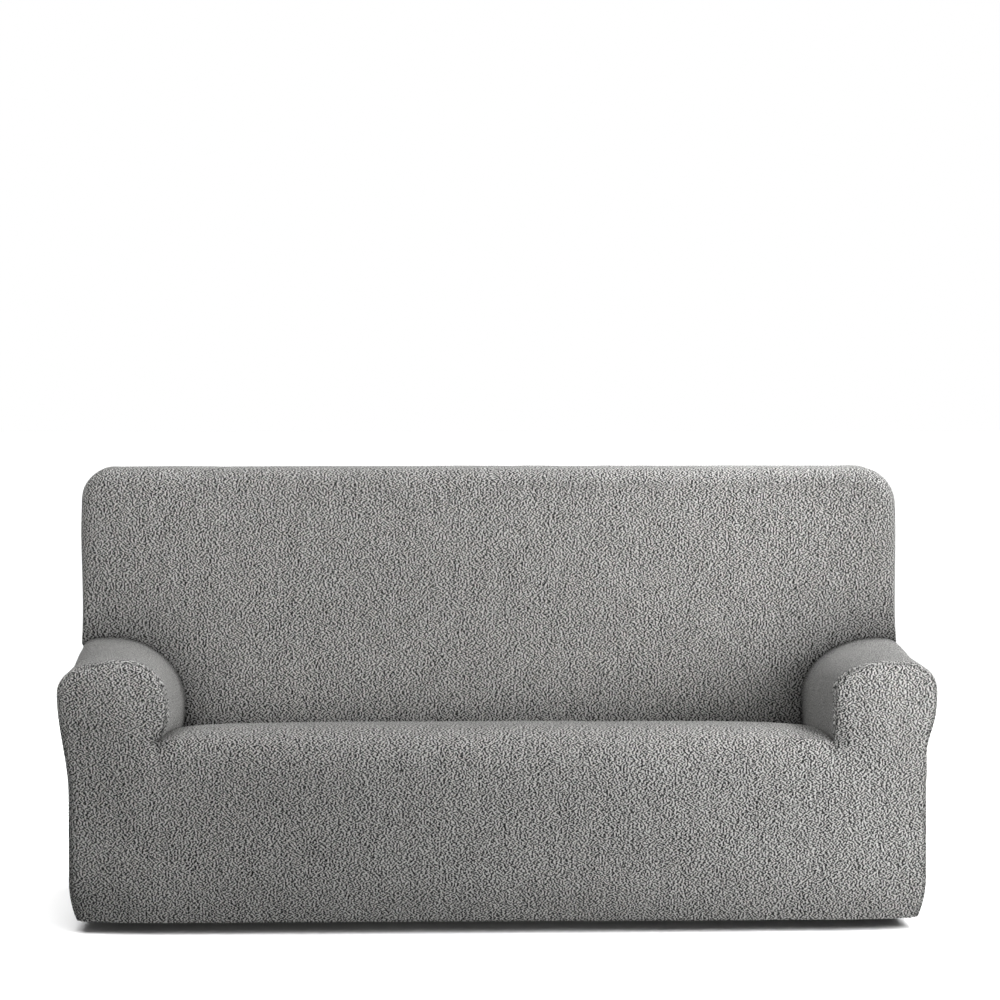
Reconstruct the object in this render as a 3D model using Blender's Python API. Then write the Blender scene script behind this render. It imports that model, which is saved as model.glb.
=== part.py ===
"""Fitted stretch slipcover for a three-seat roll-arm seat, as five sewn cloth panels.

The cover is a hollow, open-bottomed skin of elastic knit. Its outside is laid out as
grids of points that share their edges: the front with its two arm lobes, the seat,
the arms, the back with its rounded rim, and the rear. The grids are welded into one
skin, so that every seam has one normal, and the skin is then cut into its panels,
each given its thickness towards the inside and a hair of room at every seam.

Units are metres. X runs to the viewer's right, Y to the rear and Z up. Heights are
worked out from the floor and the front of the arms, and everything is moved at the
end so that the underside of the back's crest is the origin.
"""

import math

import bmesh
import bpy
from mathutils import Vector

# ---- Driving dimensions -------------------------------------------------------------

CLOTH = 0.0015  # thickness of the knit
SEAM_GAP = 0.0006  # room between two panels at a seam
WELD = 0.00002

HEM_Z = 0.0275  # the hem's height over the floor
HEM_RISE = 0.090  # height over which the cloth curls in towards the hem
HEM_CURL = 0.017  # how far it curls in
HEM_TURN = 0.012  # cloth turned under at the hem

SIDE_X = {-1: 0.936, 1: 0.943}  # outer side of the arms, below the roll
SIDE_SWELL_Z = 0.300  # height from which the side swells out to the roll

BACK_HALF = 0.955  # half the width of the back
BACK_TOP = 0.984
BACK_CORNER = {-1: 0.070, 1: 0.085}  # corner radius in front view
BACK_BARREL = 0.003  # the sides draw in a little towards the top
BACK_RIM = 0.045  # radius of the rim, from the face to the top and sides
BACK_FOOT_Y = 0.625  # where the face of the back meets the seat
BACK_LEAN = 0.16  # run of the face for each metre up
BACK_PUFF = 0.016
REAR_Y = 0.865
REAR_LEAN = 0.030
REAR_RIM = 0.022

FRONT_RIM = 0.022  # radius of the edge round an arm's front
PUCKER = 0.010  # how far the seam sinks in at the arm's inner corner
BACK_CREASE = 0.012  # radius of the crease between an arm and the back

SEAT_CROWN = 0.4510  # height of the seat's crown
SEAT_REAR = 0.385  # height of the seat at the back
ROLL_DEPTH = 0.110  # front roll of the seat, front to back
ROLL_HEIGHT = 0.085  # and from its crown down
SEAT_BULGE = 0.034  # how far the seat's front stands out before the arms

SHOULDER_Z = 0.572  # where an arm's outer side meets the back's rim

# An arm's section at three depths, seen from the front: X is measured outwards from
# the middle of the cover. A power is a superellipse's exponent, 2 for an ellipse and
# more for a squarer shoulder.
ARM_COLUMNS = (
    "depth", "outer_x", "outer_z", "outer_power", "crown_x", "crown_z",
    "inner_x", "wall_z", "inner_power", "crease_x", "crease_z",
)
ARM_ROWS = {
    -1: (
        (0.0, 0.960, 0.525, 2.1, 0.818, 0.602, 0.713, 0.490, 2.3, 0.737, 0.4245),
        (0.4, 0.950, 0.525, 2.3, 0.846, 0.598, 0.713, 0.468, 2.2, 0.723, 0.4180),
        (1.0, 0.954, 0.540, 4.0, 0.885, 0.592, 0.714, 0.441, 2.0, 0.718, 0.3860),
    ),
    1: (
        (0.0, 0.966, 0.524, 2.2, 0.870, 0.595, 0.731, 0.530, 2.3, 0.734, 0.4180),
        (0.4, 0.957, 0.525, 2.3, 0.890, 0.590, 0.731, 0.490, 2.2, 0.731, 0.4160),
        (1.0, 0.957, 0.540, 4.0, 0.912, 0.586, 0.731, 0.450, 2.1, 0.731, 0.3860),
    ),
}

# Stations round an arm's section, from the outer hem over the roll to the seat:
# each stretch ends at its share of the way and has its own number of steps.
SECTION = {"bulge": 0.30, "crown": 0.52, "wall": 0.78, "crease": 1.0}
SECTION_STEPS = {"bulge": 6, "crown": 6, "wall": 6, "crease": 4}
DEPTH_STATIONS = (0.0, 0.012, 0.028, 0.065, 0.13, 0.25, 0.40, 0.55, 0.70, 0.85, 0.975, 1.0)
LOBE_STATIONS = (0.0, 0.10, 0.30, 0.55, 0.80, 1.0)
LOBE_BOW = 0.058  # how far the rows of an arm's front bow round its inner corner
SEAT_STATIONS = (0.0, 0.10, 0.20, 0.30, 0.40, 0.50, 0.60, 0.70, 0.80, 0.89, 0.955, 1.0)

# The back: up its side and round its corner, then round its rim and over its depth.
SIDE_STEPS = 4
CORNER_STEPS = 4
RIM_STEPS = 3
DEPTH_STEPS = 2
FACE_RISE = 0.690  # height at the middle of the row that joins the arms' crowns

ROUND_SHARE = 1 - math.sqrt(0.5)  # inset of a rounded edge's middle, for a radius of 1

KNIT_GREY = (0.30, 0.295, 0.285, 1.0)
REAR_GREY = (0.27, 0.265, 0.256, 1.0)


# ---- Small helpers ------------------------------------------------------------------

def mix(start, end, share):
    return start + (end - start) * share


def ease(value, start, end):
    """0 at start and 1 at end, level at both."""
    share = min(max((value - start) / (end - start), 0.0), 1.0)
    return share * share * (3 - 2 * share)


def bump(value, centre, width):
    return math.exp(-(((value - centre) / width) ** 2))


def round_inset(distance, radius):
    """How far a quarter-round edge lies inside its corner, this far from its middle."""
    run = math.sqrt(0.5) - distance / radius
    if run <= 0:
        return 0.0
    return radius * (1 - math.sqrt(1 - run * run))


def quarter(angle, power):
    """A point on a superellipse's quarter, of half axes 1, in this direction."""
    across, up = math.cos(angle), math.sin(angle)
    reach = (abs(across) ** power + abs(up) ** power) ** (-1 / power)
    return across * reach, up * reach


# ---- The arms -----------------------------------------------------------------------

def arm_sizes(side, depth):
    """The arm's section at this share of its depth, mixed from the rows of the table."""
    rows = ARM_ROWS[side]
    low = rows[0] if depth <= rows[1][0] else rows[1]
    high = rows[1] if depth <= rows[1][0] else rows[2]
    share = (depth - low[0]) / (high[0] - low[0])
    return {name: mix(a, b, share) for name, a, b in zip(ARM_COLUMNS, low, high)}


def hem_inset(z):
    """How far the cloth has curled in, at this height over the floor."""
    rise = max(HEM_Z + HEM_RISE - z, 0.0) / HEM_RISE
    return HEM_CURL * rise * rise


def section_point(side, depth, s):
    """X (outwards) and Z on an arm's section. s runs from the outer hem to the seat."""
    size = arm_sizes(side, depth)
    if s < SECTION["bulge"]:
        share = (max(s, 0.0) / SECTION["bulge"]) ** 1.6
        z = mix(HEM_Z, size["outer_z"], share)
        swell = ease(z, SIDE_SWELL_Z, size["outer_z"])
        return mix(SIDE_X[side], size["outer_x"], swell) - hem_inset(z), z
    if s < SECTION["crown"]:
        turn = (s - SECTION["bulge"]) / (SECTION["crown"] - SECTION["bulge"])
        across, up = quarter(turn * math.pi / 2, size["outer_power"])
        x = mix(size["crown_x"], size["outer_x"], across)
        return x, mix(size["outer_z"], size["crown_z"], up)
    if s < SECTION["wall"]:
        turn = (s - SECTION["crown"]) / (SECTION["wall"] - SECTION["crown"])
        across, up = quarter((1 - turn) * math.pi / 2, size["inner_power"])
        x = mix(size["crown_x"], size["inner_x"], across)
        return x, mix(size["wall_z"], size["crown_z"], up)
    share = (s - SECTION["wall"]) / (1 - SECTION["wall"])
    x = mix(size["inner_x"], size["crease_x"], share * share)
    return x, mix(size["wall_z"], size["crease_z"], share)


def section_normal(side, depth, s):
    """The section's outward normal, in X (outwards) and Z."""
    if s <= 0:
        return 1.0, 0.0
    step = 0.004
    x0, z0 = section_point(side, depth, max(s - step, 0.0))
    x1, z1 = section_point(side, depth, min(s + step, 1.0))
    along = math.hypot(x1 - x0, z1 - z0)
    return (z1 - z0) / along, -(x1 - x0) / along


def front_y(x, z):
    """Y of the front cloth beside the seat. x is measured outwards from the middle."""
    edge_fall = 0.014 * ease(x, 0.80, 0.95)
    puff = -0.014 * bump(x, 0.835, 0.085) * bump(z, 0.505, 0.085)
    slack = 0.010 * bump(x, 0.86, 0.10) * bump(z, 0.27, 0.11)
    fold = 0.012 * bump(x, 0.735, 0.035) * ease(z, 0.22, 0.424)
    return edge_fall + puff + slack + fold + hem_inset(z)


def front_seam(side, s):
    """The seam round an arm's front: X outwards, Y and Z."""
    hold = 1 - ease(s, 0.90, 1.0)
    x, z = section_point(side, 0.0, s)
    across, up = section_normal(side, 0.0, s)
    inset = FRONT_RIM * ROUND_SHARE * hold
    x -= across * inset
    z -= up * inset
    return x, front_y(x, z) + FRONT_RIM * ROUND_SHARE + pucker(s), z


def pucker(s):
    """How far the seam sinks in where it turns the corner onto the seat."""
    return PUCKER * ease(s, 0.88, 1.0)


def back_y(x, z):
    """Y of the back's face. x is measured from the middle, either way."""
    upright = max(1 - ((z - 0.72) / 0.32) ** 2, 0.0)
    across = 1 - min(abs(x) / BACK_HALF, 1.0) ** 4
    return BACK_FOOT_Y + BACK_LEAN * (z - SEAT_REAR) - BACK_PUFF * upright * across


def arm_end_y(side, s):
    """Y where an arm's section meets the back."""
    x, z = section_point(side, 1.0, s)
    crease = BACK_CREASE * ROUND_SHARE * ease(s, SECTION["bulge"] + 0.10, SECTION["crown"])
    return back_y(x, max(z, SHOULDER_Z) if s < SECTION["crown"] else z) - crease


def arm_point(side, s, depth):
    """A point of an arm, s round its section and depth from its front to the back."""
    start, end = front_seam(side, s)[1], arm_end_y(side, s)
    y = mix(start, end, depth)
    x, z = section_point(side, depth, s)
    across, up = section_normal(side, depth, s)
    hold = 1 - ease(s, 0.90, 1.0)
    inset = round_inset(y - start, FRONT_RIM) * hold
    flare = ease(s, SECTION["bulge"] + 0.10, SECTION["crown"]) * hold
    inset -= round_inset(end - y, BACK_CREASE) * flare
    return Vector((side * (x - across * inset), y, z - up * inset))


# ---- The front and the seat ---------------------------------------------------------

def column_share(s):
    """Height share of the seat's front at its middle, for a station of the arms."""
    return s / (s + 0.35 * (1 - s))


def column_height(s):
    """Height share on the line from the hem up to the arm's inner corner."""
    return s / (s + 1.2 * (1 - s))


def column_point(side, s):
    """The line where the front's lobe ends and the seat's front begins."""
    corner_x, _, corner_z = front_seam(side, 1.0)
    z = mix(HEM_Z, corner_z, column_height(s))
    sunk = (FRONT_RIM * ROUND_SHARE + PUCKER) * ease(z, corner_z - 0.06, corner_z)
    return corner_x, front_y(corner_x, z) + sunk, z


def lobe_point(side, s, share):
    """A point of an arm's front, from the seam (0) in to the column (1)."""
    start_x, _, start_z = front_seam(side, s)
    across, up = section_normal(side, 0.0, s)
    hold = 1 - ease(s, 0.88, 1.0)
    rim = FRONT_RIM * (1 - ROUND_SHARE)
    inset = min(share / LOBE_STATIONS[1], 1.0) * rim * hold
    x, z = start_x - across * inset, start_z - up * inset
    inner_x, inner_y, inner_z = column_point(side, s)
    inwards = max(share - LOBE_STATIONS[1], 0.0) / (1 - LOBE_STATIONS[1])
    x, z = mix(x, inner_x, inwards), mix(z, inner_z, inwards)
    x += LOBE_BOW * math.sin(math.pi * s ** 1.8) * math.sin(math.pi * inwards)
    sunk = mix(pucker(s), inner_y - front_y(inner_x, inner_z), inwards)
    y = front_y(x, z) + round_inset(inset, FRONT_RIM) * (1 - inwards) + sunk
    return Vector((side * x, y, z))


def middle_profile(g):
    """Y and Z down the middle: g is 0 at the hem, 1 halfway round the roll, 2 at the back."""
    roll_start, roll_end = 0.80, 1.16
    front = -SEAT_BULGE
    if g <= roll_start:
        share = g / roll_start
        z = mix(HEM_Z, SEAT_CROWN - ROLL_HEIGHT, share)
        return front * math.sin(share * math.pi / 2) + hem_inset(z), z
    if g <= roll_end:
        turn = (g - roll_start) / (1 - roll_start) if g <= 1 else 1 + (g - 1) / (roll_end - 1)
        across, up = quarter(turn * math.pi / 4, 2.3)
        y = front + ROLL_DEPTH * (1 - across)
        return y, SEAT_CROWN - ROLL_HEIGHT * (1 - up)
    share = (g - roll_end) / (2 - roll_end)
    start, end = front + ROLL_DEPTH, back_y(0.0, SEAT_REAR) - BACK_CREASE * ROUND_SHARE
    return mix(start, end, share), mix(SEAT_CROWN, SEAT_REAR, share ** 1.5)


def seat_point(side, across, g):
    """A point of the seat and its front. across is 0 at the middle and 1 at the arm."""
    if g <= 1:
        x, y, z = column_point(side, column_station(g))
    else:
        x, y, z = arm_point(side, 1.0, g - 1)
        x *= side
    middle_y, middle_z = middle_profile(g)
    broad = 1 - ease(across, 0.50, 1.0)
    full = math.sqrt(max(1 - across ** 6, 0.0))
    sharp = ease(g, 0.35, 0.95)
    swell = mix(broad, full, sharp)
    rear = back_y(across * x, z) - back_y(0.0, SEAT_REAR)
    rear *= ease(g, 1.5, 2.0) * swell
    return Vector((side * across * x, mix(y, middle_y, swell) + rear, mix(z, middle_z, swell)))


def column_station(g):
    """The section station whose column height has this share: column_share's inverse."""
    return 0.35 * g / (1 - 0.65 * g)


# ---- The back -----------------------------------------------------------------------

def side_line(side, z):
    """Half width of the back's outline at this height, below its corner."""
    low_x = section_point(side, 1.0, station_at(side, z))[0] if z < SHOULDER_Z else BACK_HALF
    top = ease(z, 0.70, BACK_TOP)
    return low_x - BACK_BARREL * top


def station_at(side, z):
    """The station on an arm's outer side at this height, at the back."""
    outer_z = arm_sizes(side, 1.0)["outer_z"]
    if z <= outer_z:
        return SECTION["bulge"] * (max(z - HEM_Z, 0.0) / (outer_z - HEM_Z)) ** (1 / 1.6)
    low, high = SECTION["bulge"], SECTION["crown"]
    for _ in range(30):
        middle = (low + high) / 2
        if section_point(side, 1.0, middle)[1] < z:
            low = middle
        else:
            high = middle
    return low


def shoulder_station(side):
    return station_at(side, SHOULDER_Z)


def outline_point(side, walk):
    """The back's outline in front view, and its normal: X outwards and Z.

    walk is 0 at the shoulder, 1 where the corner starts, 2 where it ends and 3 at the
    middle of the back.
    """
    radius = BACK_CORNER[side]
    corner_x = BACK_HALF - BACK_BARREL - radius
    corner_z = BACK_TOP - radius
    if walk <= 1:
        z = mix(SHOULDER_Z, corner_z, walk)
        return side_line(side, z) if z > SHOULDER_Z else shoulder_x(side), z, 1.0, 0.0
    if walk <= 2:
        angle = (walk - 1) * math.pi / 2
        across, up = math.cos(angle), math.sin(angle)
        return corner_x + radius * across, corner_z + radius * up, across, up
    return corner_x * (3 - walk), BACK_TOP, 0.0, 1.0


def shoulder_x(side):
    return section_point(side, 1.0, shoulder_station(side))[0]


def rear_y(z):
    return REAR_Y + REAR_LEAN * z / BACK_TOP


def rim_size(z):
    """The rim's inset and its depth. It grows out of the arm's shoulder."""
    grown = ease(z, SHOULDER_Z, SHOULDER_Z + 0.25)
    return BACK_RIM * grown, mix(0.016, BACK_RIM, grown)


def wrap_point(side, outline, share_rim, share_depth, share_rear):
    """A point past the back's face: round the rim, over the depth, to the rear seam."""
    x, z, across, up = outline
    radius, depth = rim_size(z)
    edge_x, edge_z = x - across * radius, z - up * radius
    start = back_y(edge_x, max(edge_z, SHOULDER_Z))
    angle = share_rim * math.pi / 2
    inset = radius * (1 - math.sin(angle))
    y = start + depth * (1 - math.cos(angle))
    if share_depth > 0:
        y = mix(y, rear_y(z) - REAR_RIM, share_depth)
    if share_rear > 0:
        angle = share_rear * math.pi / 4
        inset = REAR_RIM * (1 - math.cos(angle))
        y = rear_y(z) - REAR_RIM * (1 - math.sin(angle))
    return Vector((side * (x - across * inset), y, z - up * inset))


# ---- Stations -----------------------------------------------------------------------

def stretch(start, end, steps):
    return [mix(start, end, step / steps) for step in range(steps)]


def section_stations(side):
    """Stations from the outer hem to the seat, one of them at the shoulder."""
    stops, start = [], 0.0
    for name, end in SECTION.items():
        stops += stretch(start, end, SECTION_STEPS[name])
        start = end
    stops.append(1.0)
    shoulder = shoulder_station(side)
    nearest = min(range(len(stops)), key=lambda index: abs(stops[index] - shoulder))
    stops[nearest] = shoulder
    return stops, nearest


def seat_columns():
    """Side and share of each column of the seat, from the left arm to the right one."""
    left = [(-1, share) for share in SEAT_STATIONS[:0:-1]]
    return left + [(1, share) for share in SEAT_STATIONS]


def side_walks():
    """From a shoulder up to the middle of its corner."""
    return stretch(0.0, 1.0, SIDE_STEPS) + stretch(1.0, 1.5, CORNER_STEPS // 2) + [1.5]


def top_walks(columns):
    """From the middle of a corner to the middle of the back."""
    half = CORNER_STEPS // 2
    return stretch(1.5, 2.0, half) + stretch(2.0, 3.0, columns - half) + [3.0]


def wrap_stations():
    """Shares round the rim, over the depth and round the rear edge, row by row."""
    rows = [(step / RIM_STEPS, 0.0, 0.0) for step in range(1, RIM_STEPS + 1)]
    rows += [(1.0, step / DEPTH_STEPS, 0.0) for step in range(1, DEPTH_STEPS + 1)]
    rows.append((1.0, 1.0, 1.0))
    return rows


# ---- The grids ----------------------------------------------------------------------

def turn_under(point):
    """Where the cloth turned under at the hem ends, for a point of the hem."""
    side = math.copysign(1.0, point.x)
    inwards = HEM_TURN * ease(abs(point.x), 0.87, 0.905)
    front = HEM_TURN * (1 - ease(point.y, 0.05, 0.12))
    rear = HEM_TURN * ease(point.y, REAR_Y - 0.09, REAR_Y - 0.03)
    return Vector((point.x - side * inwards, point.y + front - rear, point.z - 0.001))


def front_grids():
    """The arm fronts and the seat with its front, as lists of rows of points."""
    grids = []
    for side in (-1, 1):
        stations, _ = section_stations(side)
        rows = [[lobe_point(side, s, share) for share in LOBE_STATIONS] for s in stations]
        rows.insert(0, [turn_under(point) for point in rows[0]])
        grids.append(rows)
    rows = []
    for index in range(len(section_stations(1)[0])):
        shares = {side: column_share(section_stations(side)[0][index]) for side in (-1, 1)}
        rows.append([seat_point(side, across, shares[side]) for side, across in seat_columns()])
    for depth in DEPTH_STATIONS[1:]:
        rows.append([seat_point(side, across, 1 + depth) for side, across in seat_columns()])
    rows.insert(0, [turn_under(point) for point in rows[0]])
    grids.append(rows)
    return grids


def arm_grid(side):
    stations, _ = section_stations(side)
    rows = [[arm_point(side, s, depth) for depth in DEPTH_STATIONS] for s in stations]
    rows.insert(0, [turn_under(point) for point in rows[0]])
    return rows


def strip_grid(side):
    """The side behind an arm, up to the shoulder."""
    stations, shoulder = section_stations(side)
    rows = []
    for s in stations[:shoulder + 1]:
        outline = (*section_point(side, 1.0, s), 1.0, 0.0)
        row = [arm_point(side, s, 1.0)]
        rows.append(row + [wrap_point(side, outline, *shares) for shares in wrap_stations()])
    rows.insert(0, [turn_under(point) for point in rows[0]])
    return rows


def face_below(seat_rear):
    """The back between the arms, as rows from the seat up to the arms' crowns."""
    crown = SECTION_STEPS["bulge"] + SECTION_STEPS["crown"]
    stations = {side: section_stations(side)[0] for side in (-1, 1)}
    last = len(stations[1]) - 1
    rows = [list(seat_rear)]
    for index in range(last - 1, crown - 1, -1):
        height = mix(SEAT_REAR, FACE_RISE, (last - index) / (last - crown))
        row = []
        for side, across in seat_columns():
            foot = arm_point(side, stations[side][index], 1.0)
            x = across * foot.x * side
            z = mix(foot.z, height, math.sqrt(1 - across ** 6))
            row.append(Vector((side * x, back_y(x, z), z)) if across < 1 else foot)
        rows.append(row)
    return rows


def face_above(crown_row):
    """The back from the arms' shoulders and crowns up to the edge of its rim, as rows."""
    crown = SECTION_STEPS["bulge"] + SECTION_STEPS["crown"]
    feet, edges = {}, {}
    for side in (-1, 1):
        stations, shoulder = section_stations(side)
        feet[side] = [arm_point(side, s, 1.0) for s in stations[shoulder:crown]]
        edges[side] = [edge_point(side, walk) for walk in side_walks()]
        edges[side][0] = feet[side][0]
    bottom = feet[-1] + crown_row + feet[1][::-1]
    middle = len(bottom) // 2
    walks = top_walks(middle)
    top = [edge_point(-1, walk) for walk in walks]
    top += [edge_point(1, walk) for walk in walks[-2::-1]]
    steps = len(side_walks()) - 1
    rows = []
    for index in range(steps + 1):
        row = []
        for column, (low, high) in enumerate(zip(bottom, top)):
            edge = edges[-1 if column < middle else 1]
            beside = 1 - ease(min(column, len(bottom) - 1 - column) / middle, 0.0, 0.6)
            climbed = (edge[index].z - edge[0].z) / (edge[-1].z - edge[0].z)
            bow = edge[index] - edge[0].lerp(edge[-1], climbed)
            point = low.lerp(high, mix(index / steps, climbed, beside)) + bow * beside
            if 0 < index < steps and 0 < column < len(bottom) - 1:
                point.y = back_y(point.x, point.z)
            row.append(point)
        rows.append(row)
    return rows


def edge_point(side, walk):
    """Where the face of the back meets its rim."""
    return wrap_point(side, outline_point(side, walk), 0.0, 0.0, 0.0)


def rim_grid(face):
    """The columns over the rim, from the left shoulder to the right one."""
    middle = len(face[0]) // 2
    walks = side_walks()
    columns = []
    for side in (-1, 1):
        edges = [row[0 if side < 0 else -1] for row in face]
        edges += face[-1][1:middle + 1] if side < 0 else face[-1][-2:middle:-1]
        half = []
        for edge, walk in zip(edges, walks + top_walks(middle)[1:]):
            outline = outline_point(side, walk)
            half.append([edge] + [wrap_point(side, outline, *shares) for shares in wrap_stations()])
        columns += half if side < 0 else half[::-1]
    return columns


def rear_grid(left_strip, right_strip, columns):
    """The rear, between the seams at its sides and its top."""
    rim = [column[-1] for column in columns]
    turn = SIDE_STEPS + CORNER_STEPS // 2
    left = [row[-1] for row in left_strip[1:]] + rim[1:turn + 1]
    right = [row[-1] for row in right_strip[1:]] + rim[-2:-turn - 2:-1]
    top = rim[turn:len(rim) - turn]
    steps = len(top) - 1
    rows = []
    for row_index, (start, end) in enumerate(zip(left, right)):
        up = row_index / (len(left) - 1)
        row = []
        for index in range(steps + 1):
            across = index / steps
            point = start.lerp(end, across)
            arch = top[index] - left[-1].lerp(right[-1], across)
            point = point + arch * up ** 3
            inner = min(across, 1 - across) * steps
            inner = min(inner, len(left) - 1 - row_index, 1.0)
            y = rear_y(point.z) - REAR_RIM * ROUND_SHARE * (1 - inner) - hem_inset(point.z)
            row.append(Vector((point.x, y, point.z)))
        row[0], row[-1] = start, end
        rows.append(row)
    rows[-1] = list(top)
    rows.insert(0, [turn_under(point) for point in rows[0]])
    return rows


# ---- From grids to panels -----------------------------------------------------------

class Skin:
    """The welded outside of the cover, with each face marked with its panel."""

    def __init__(self):
        self.mesh = bmesh.new()
        self.panels = []

    def add(self, panel, grid, flip=False):
        if panel not in self.panels:
            self.panels.append(panel)
        marks = [[self.mesh.verts.new(point) for point in row] for row in grid]
        for row, row_up in zip(marks, marks[1:]):
            for a, b, c, d in zip(row, row[1:], row_up[1:], row_up):
                corners = (a, d, c, b) if flip else (a, b, c, d)
                face = self.mesh.faces.new(corners)
                face.material_index = self.panels.index(panel)

    def weld(self):
        bmesh.ops.remove_doubles(self.mesh, verts=self.mesh.verts, dist=WELD)
        faces = list(self.mesh.faces)
        bmesh.ops.triangulate(self.mesh, faces=faces, quad_method="SHORT_EDGE")
        self.mesh.verts.index_update()
        self.mesh.normal_update()

    def panel_mesh(self, panel):
        """This panel as a closed sheet: outside, inside and the edge all round."""
        mark = self.panels.index(panel)
        faces = [face for face in self.mesh.faces if face.material_index == mark]
        own = set(faces)
        sheet = bmesh.new()
        outer, inner = {}, {}
        for vert in {vert for face in faces for vert in face.verts}:
            point = vert.co + self.drawn_in(vert, own)
            outer[vert] = sheet.verts.new(point)
            inner[vert] = sheet.verts.new(point - vert.normal * CLOTH)
        for face in faces:
            sheet.faces.new([outer[vert] for vert in face.verts])
            sheet.faces.new([inner[vert] for vert in reversed(face.verts)])
            for loop in face.loops:
                shared = sum(other in own for other in loop.edge.link_faces)
                if shared == 1:
                    a, b = loop.vert, loop.link_loop_next.vert
                    # both panels at a seam split its wall the same way
                    low, high = (a, b) if a.index < b.index else (b, a)
                    sheet.faces.new([outer[b], outer[a], inner[high]])
                    sheet.faces.new([inner[a], inner[b], outer[low]])
        return sheet

    def drawn_in(self, vert, own):
        """Half a seam's room, square to the seam, for a point of a panel."""
        across = []
        for face in vert.link_faces:
            for loop in face.loops:
                seam = sum(other in own for other in loop.edge.link_faces) == 1
                seam = seam and len(loop.edge.link_faces) == 2
                if face in own and seam and vert in loop.edge.verts:
                    along = loop.link_loop_next.vert.co - loop.vert.co
                    across.append(face.normal.cross(along).normalized())
        if not across:
            return Vector((0, 0, 0))
        inwards = sum(across, Vector((0, 0, 0))).normalized()
        return inwards * (SEAM_GAP / 2 / max(inwards.dot(across[0]), 0.4))


def knit_material(name, colour):
    material = bpy.data.materials.new(name)
    material.use_nodes = True
    shader = material.node_tree.nodes["Principled BSDF"]
    shader.inputs["Base Color"].default_value = colour
    shader.inputs["Roughness"].default_value = 0.95
    shader.inputs["Metallic"].default_value = 0.0
    return material


def build_skin():
    skin = Skin()
    left_lobe, right_lobe, seat = front_grids()
    left_strip, right_strip = strip_grid(-1), strip_grid(1)
    below = face_below(seat[-1])
    above = face_above(below[-1])
    rim = rim_grid(above)
    skin.add("seat_front", left_lobe)
    skin.add("seat_front", right_lobe, flip=True)
    skin.add("seat_front", seat)
    skin.add("arm_left", arm_grid(-1), flip=True)
    skin.add("arm_right", arm_grid(1))
    skin.add("arm_left", left_strip, flip=True)
    skin.add("arm_right", right_strip)
    skin.add("back_inside", below)
    skin.add("back_inside", above)
    skin.add("back_inside", rim, flip=True)
    skin.add("back_outside", rear_grid(left_strip, right_strip, rim), flip=True)
    skin.weld()
    return skin


def main():
    for old in list(bpy.data.objects):
        bpy.data.objects.remove(old, do_unlink=True)
    collection = bpy.data.collections.new("Stretch slipcover")
    bpy.context.scene.collection.children.link(collection)
    mount_y = (back_y(0.0, BACK_TOP) + rear_y(BACK_TOP)) / 2
    origin = Vector((0.0, mount_y, BACK_TOP - CLOTH))
    skin = build_skin()
    for panel in skin.panels:
        sheet = skin.panel_mesh(panel)
        bmesh.ops.translate(sheet, vec=-origin, verts=sheet.verts)
        mesh = bpy.data.meshes.new(panel)
        sheet.to_mesh(mesh)
        sheet.free()
        mesh.shade_smooth()
        mesh.set_sharp_from_angle(angle=math.radians(50))
        colour = REAR_GREY if panel == "back_outside" else KNIT_GREY
        mesh.materials.append(knit_material(panel + "_knit", colour))
        collection.objects.link(bpy.data.objects.new(panel, mesh))
    skin.mesh.free()


main()
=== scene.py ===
"""Looks of the fitted stretch slipcover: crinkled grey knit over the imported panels.

The cover is laid out again on the same sizes as its solids, with a point every 8 mm or
so and a slightly rounder front, and each sewn panel becomes one thin closed sheet of
knit. Units are metres. X runs to the viewer's right, Y to the rear and Z up. The cover
is worked out from the floor and the front of its arms, and then moved so that the
underside of the back's crest is the origin, as in the solids.
"""

import math

import bpy
import numpy as np
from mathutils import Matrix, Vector, kdtree, noise


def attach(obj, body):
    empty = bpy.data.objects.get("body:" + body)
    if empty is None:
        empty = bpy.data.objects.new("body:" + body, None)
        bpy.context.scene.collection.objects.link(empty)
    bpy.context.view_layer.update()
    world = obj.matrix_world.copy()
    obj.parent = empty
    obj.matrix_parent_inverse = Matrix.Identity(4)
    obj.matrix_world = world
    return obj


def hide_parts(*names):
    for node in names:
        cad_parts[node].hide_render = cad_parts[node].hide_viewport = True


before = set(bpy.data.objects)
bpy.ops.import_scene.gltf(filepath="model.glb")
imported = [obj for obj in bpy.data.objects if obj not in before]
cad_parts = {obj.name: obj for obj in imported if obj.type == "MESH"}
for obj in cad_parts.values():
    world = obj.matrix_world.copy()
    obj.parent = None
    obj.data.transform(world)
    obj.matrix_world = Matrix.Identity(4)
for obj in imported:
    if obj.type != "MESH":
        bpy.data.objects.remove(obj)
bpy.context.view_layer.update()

# ---- Driving dimensions -------------------------------------------------------------
# A pair of heights or depths says where a change starts and where it is complete. A
# pair of a middle and a reach says where a soft swell lies.

ORIGIN = (0.0, 0.805365, 0.9825)

CLOTH = 0.0015  # thickness of the knit
SEAM_GAP = 0.0006  # room between two panels at a seam
WELD = 0.00002  # points that lie nearer than this become one
WELD_OFFSET = 0.123  # keeps round measures away from the border between two welds
TOUCH = 0.000001  # a point nearer than this to a crease lies on it
SMOOTH_TO = math.radians(60)  # the sheets are shaded smooth up to this angle

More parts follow.
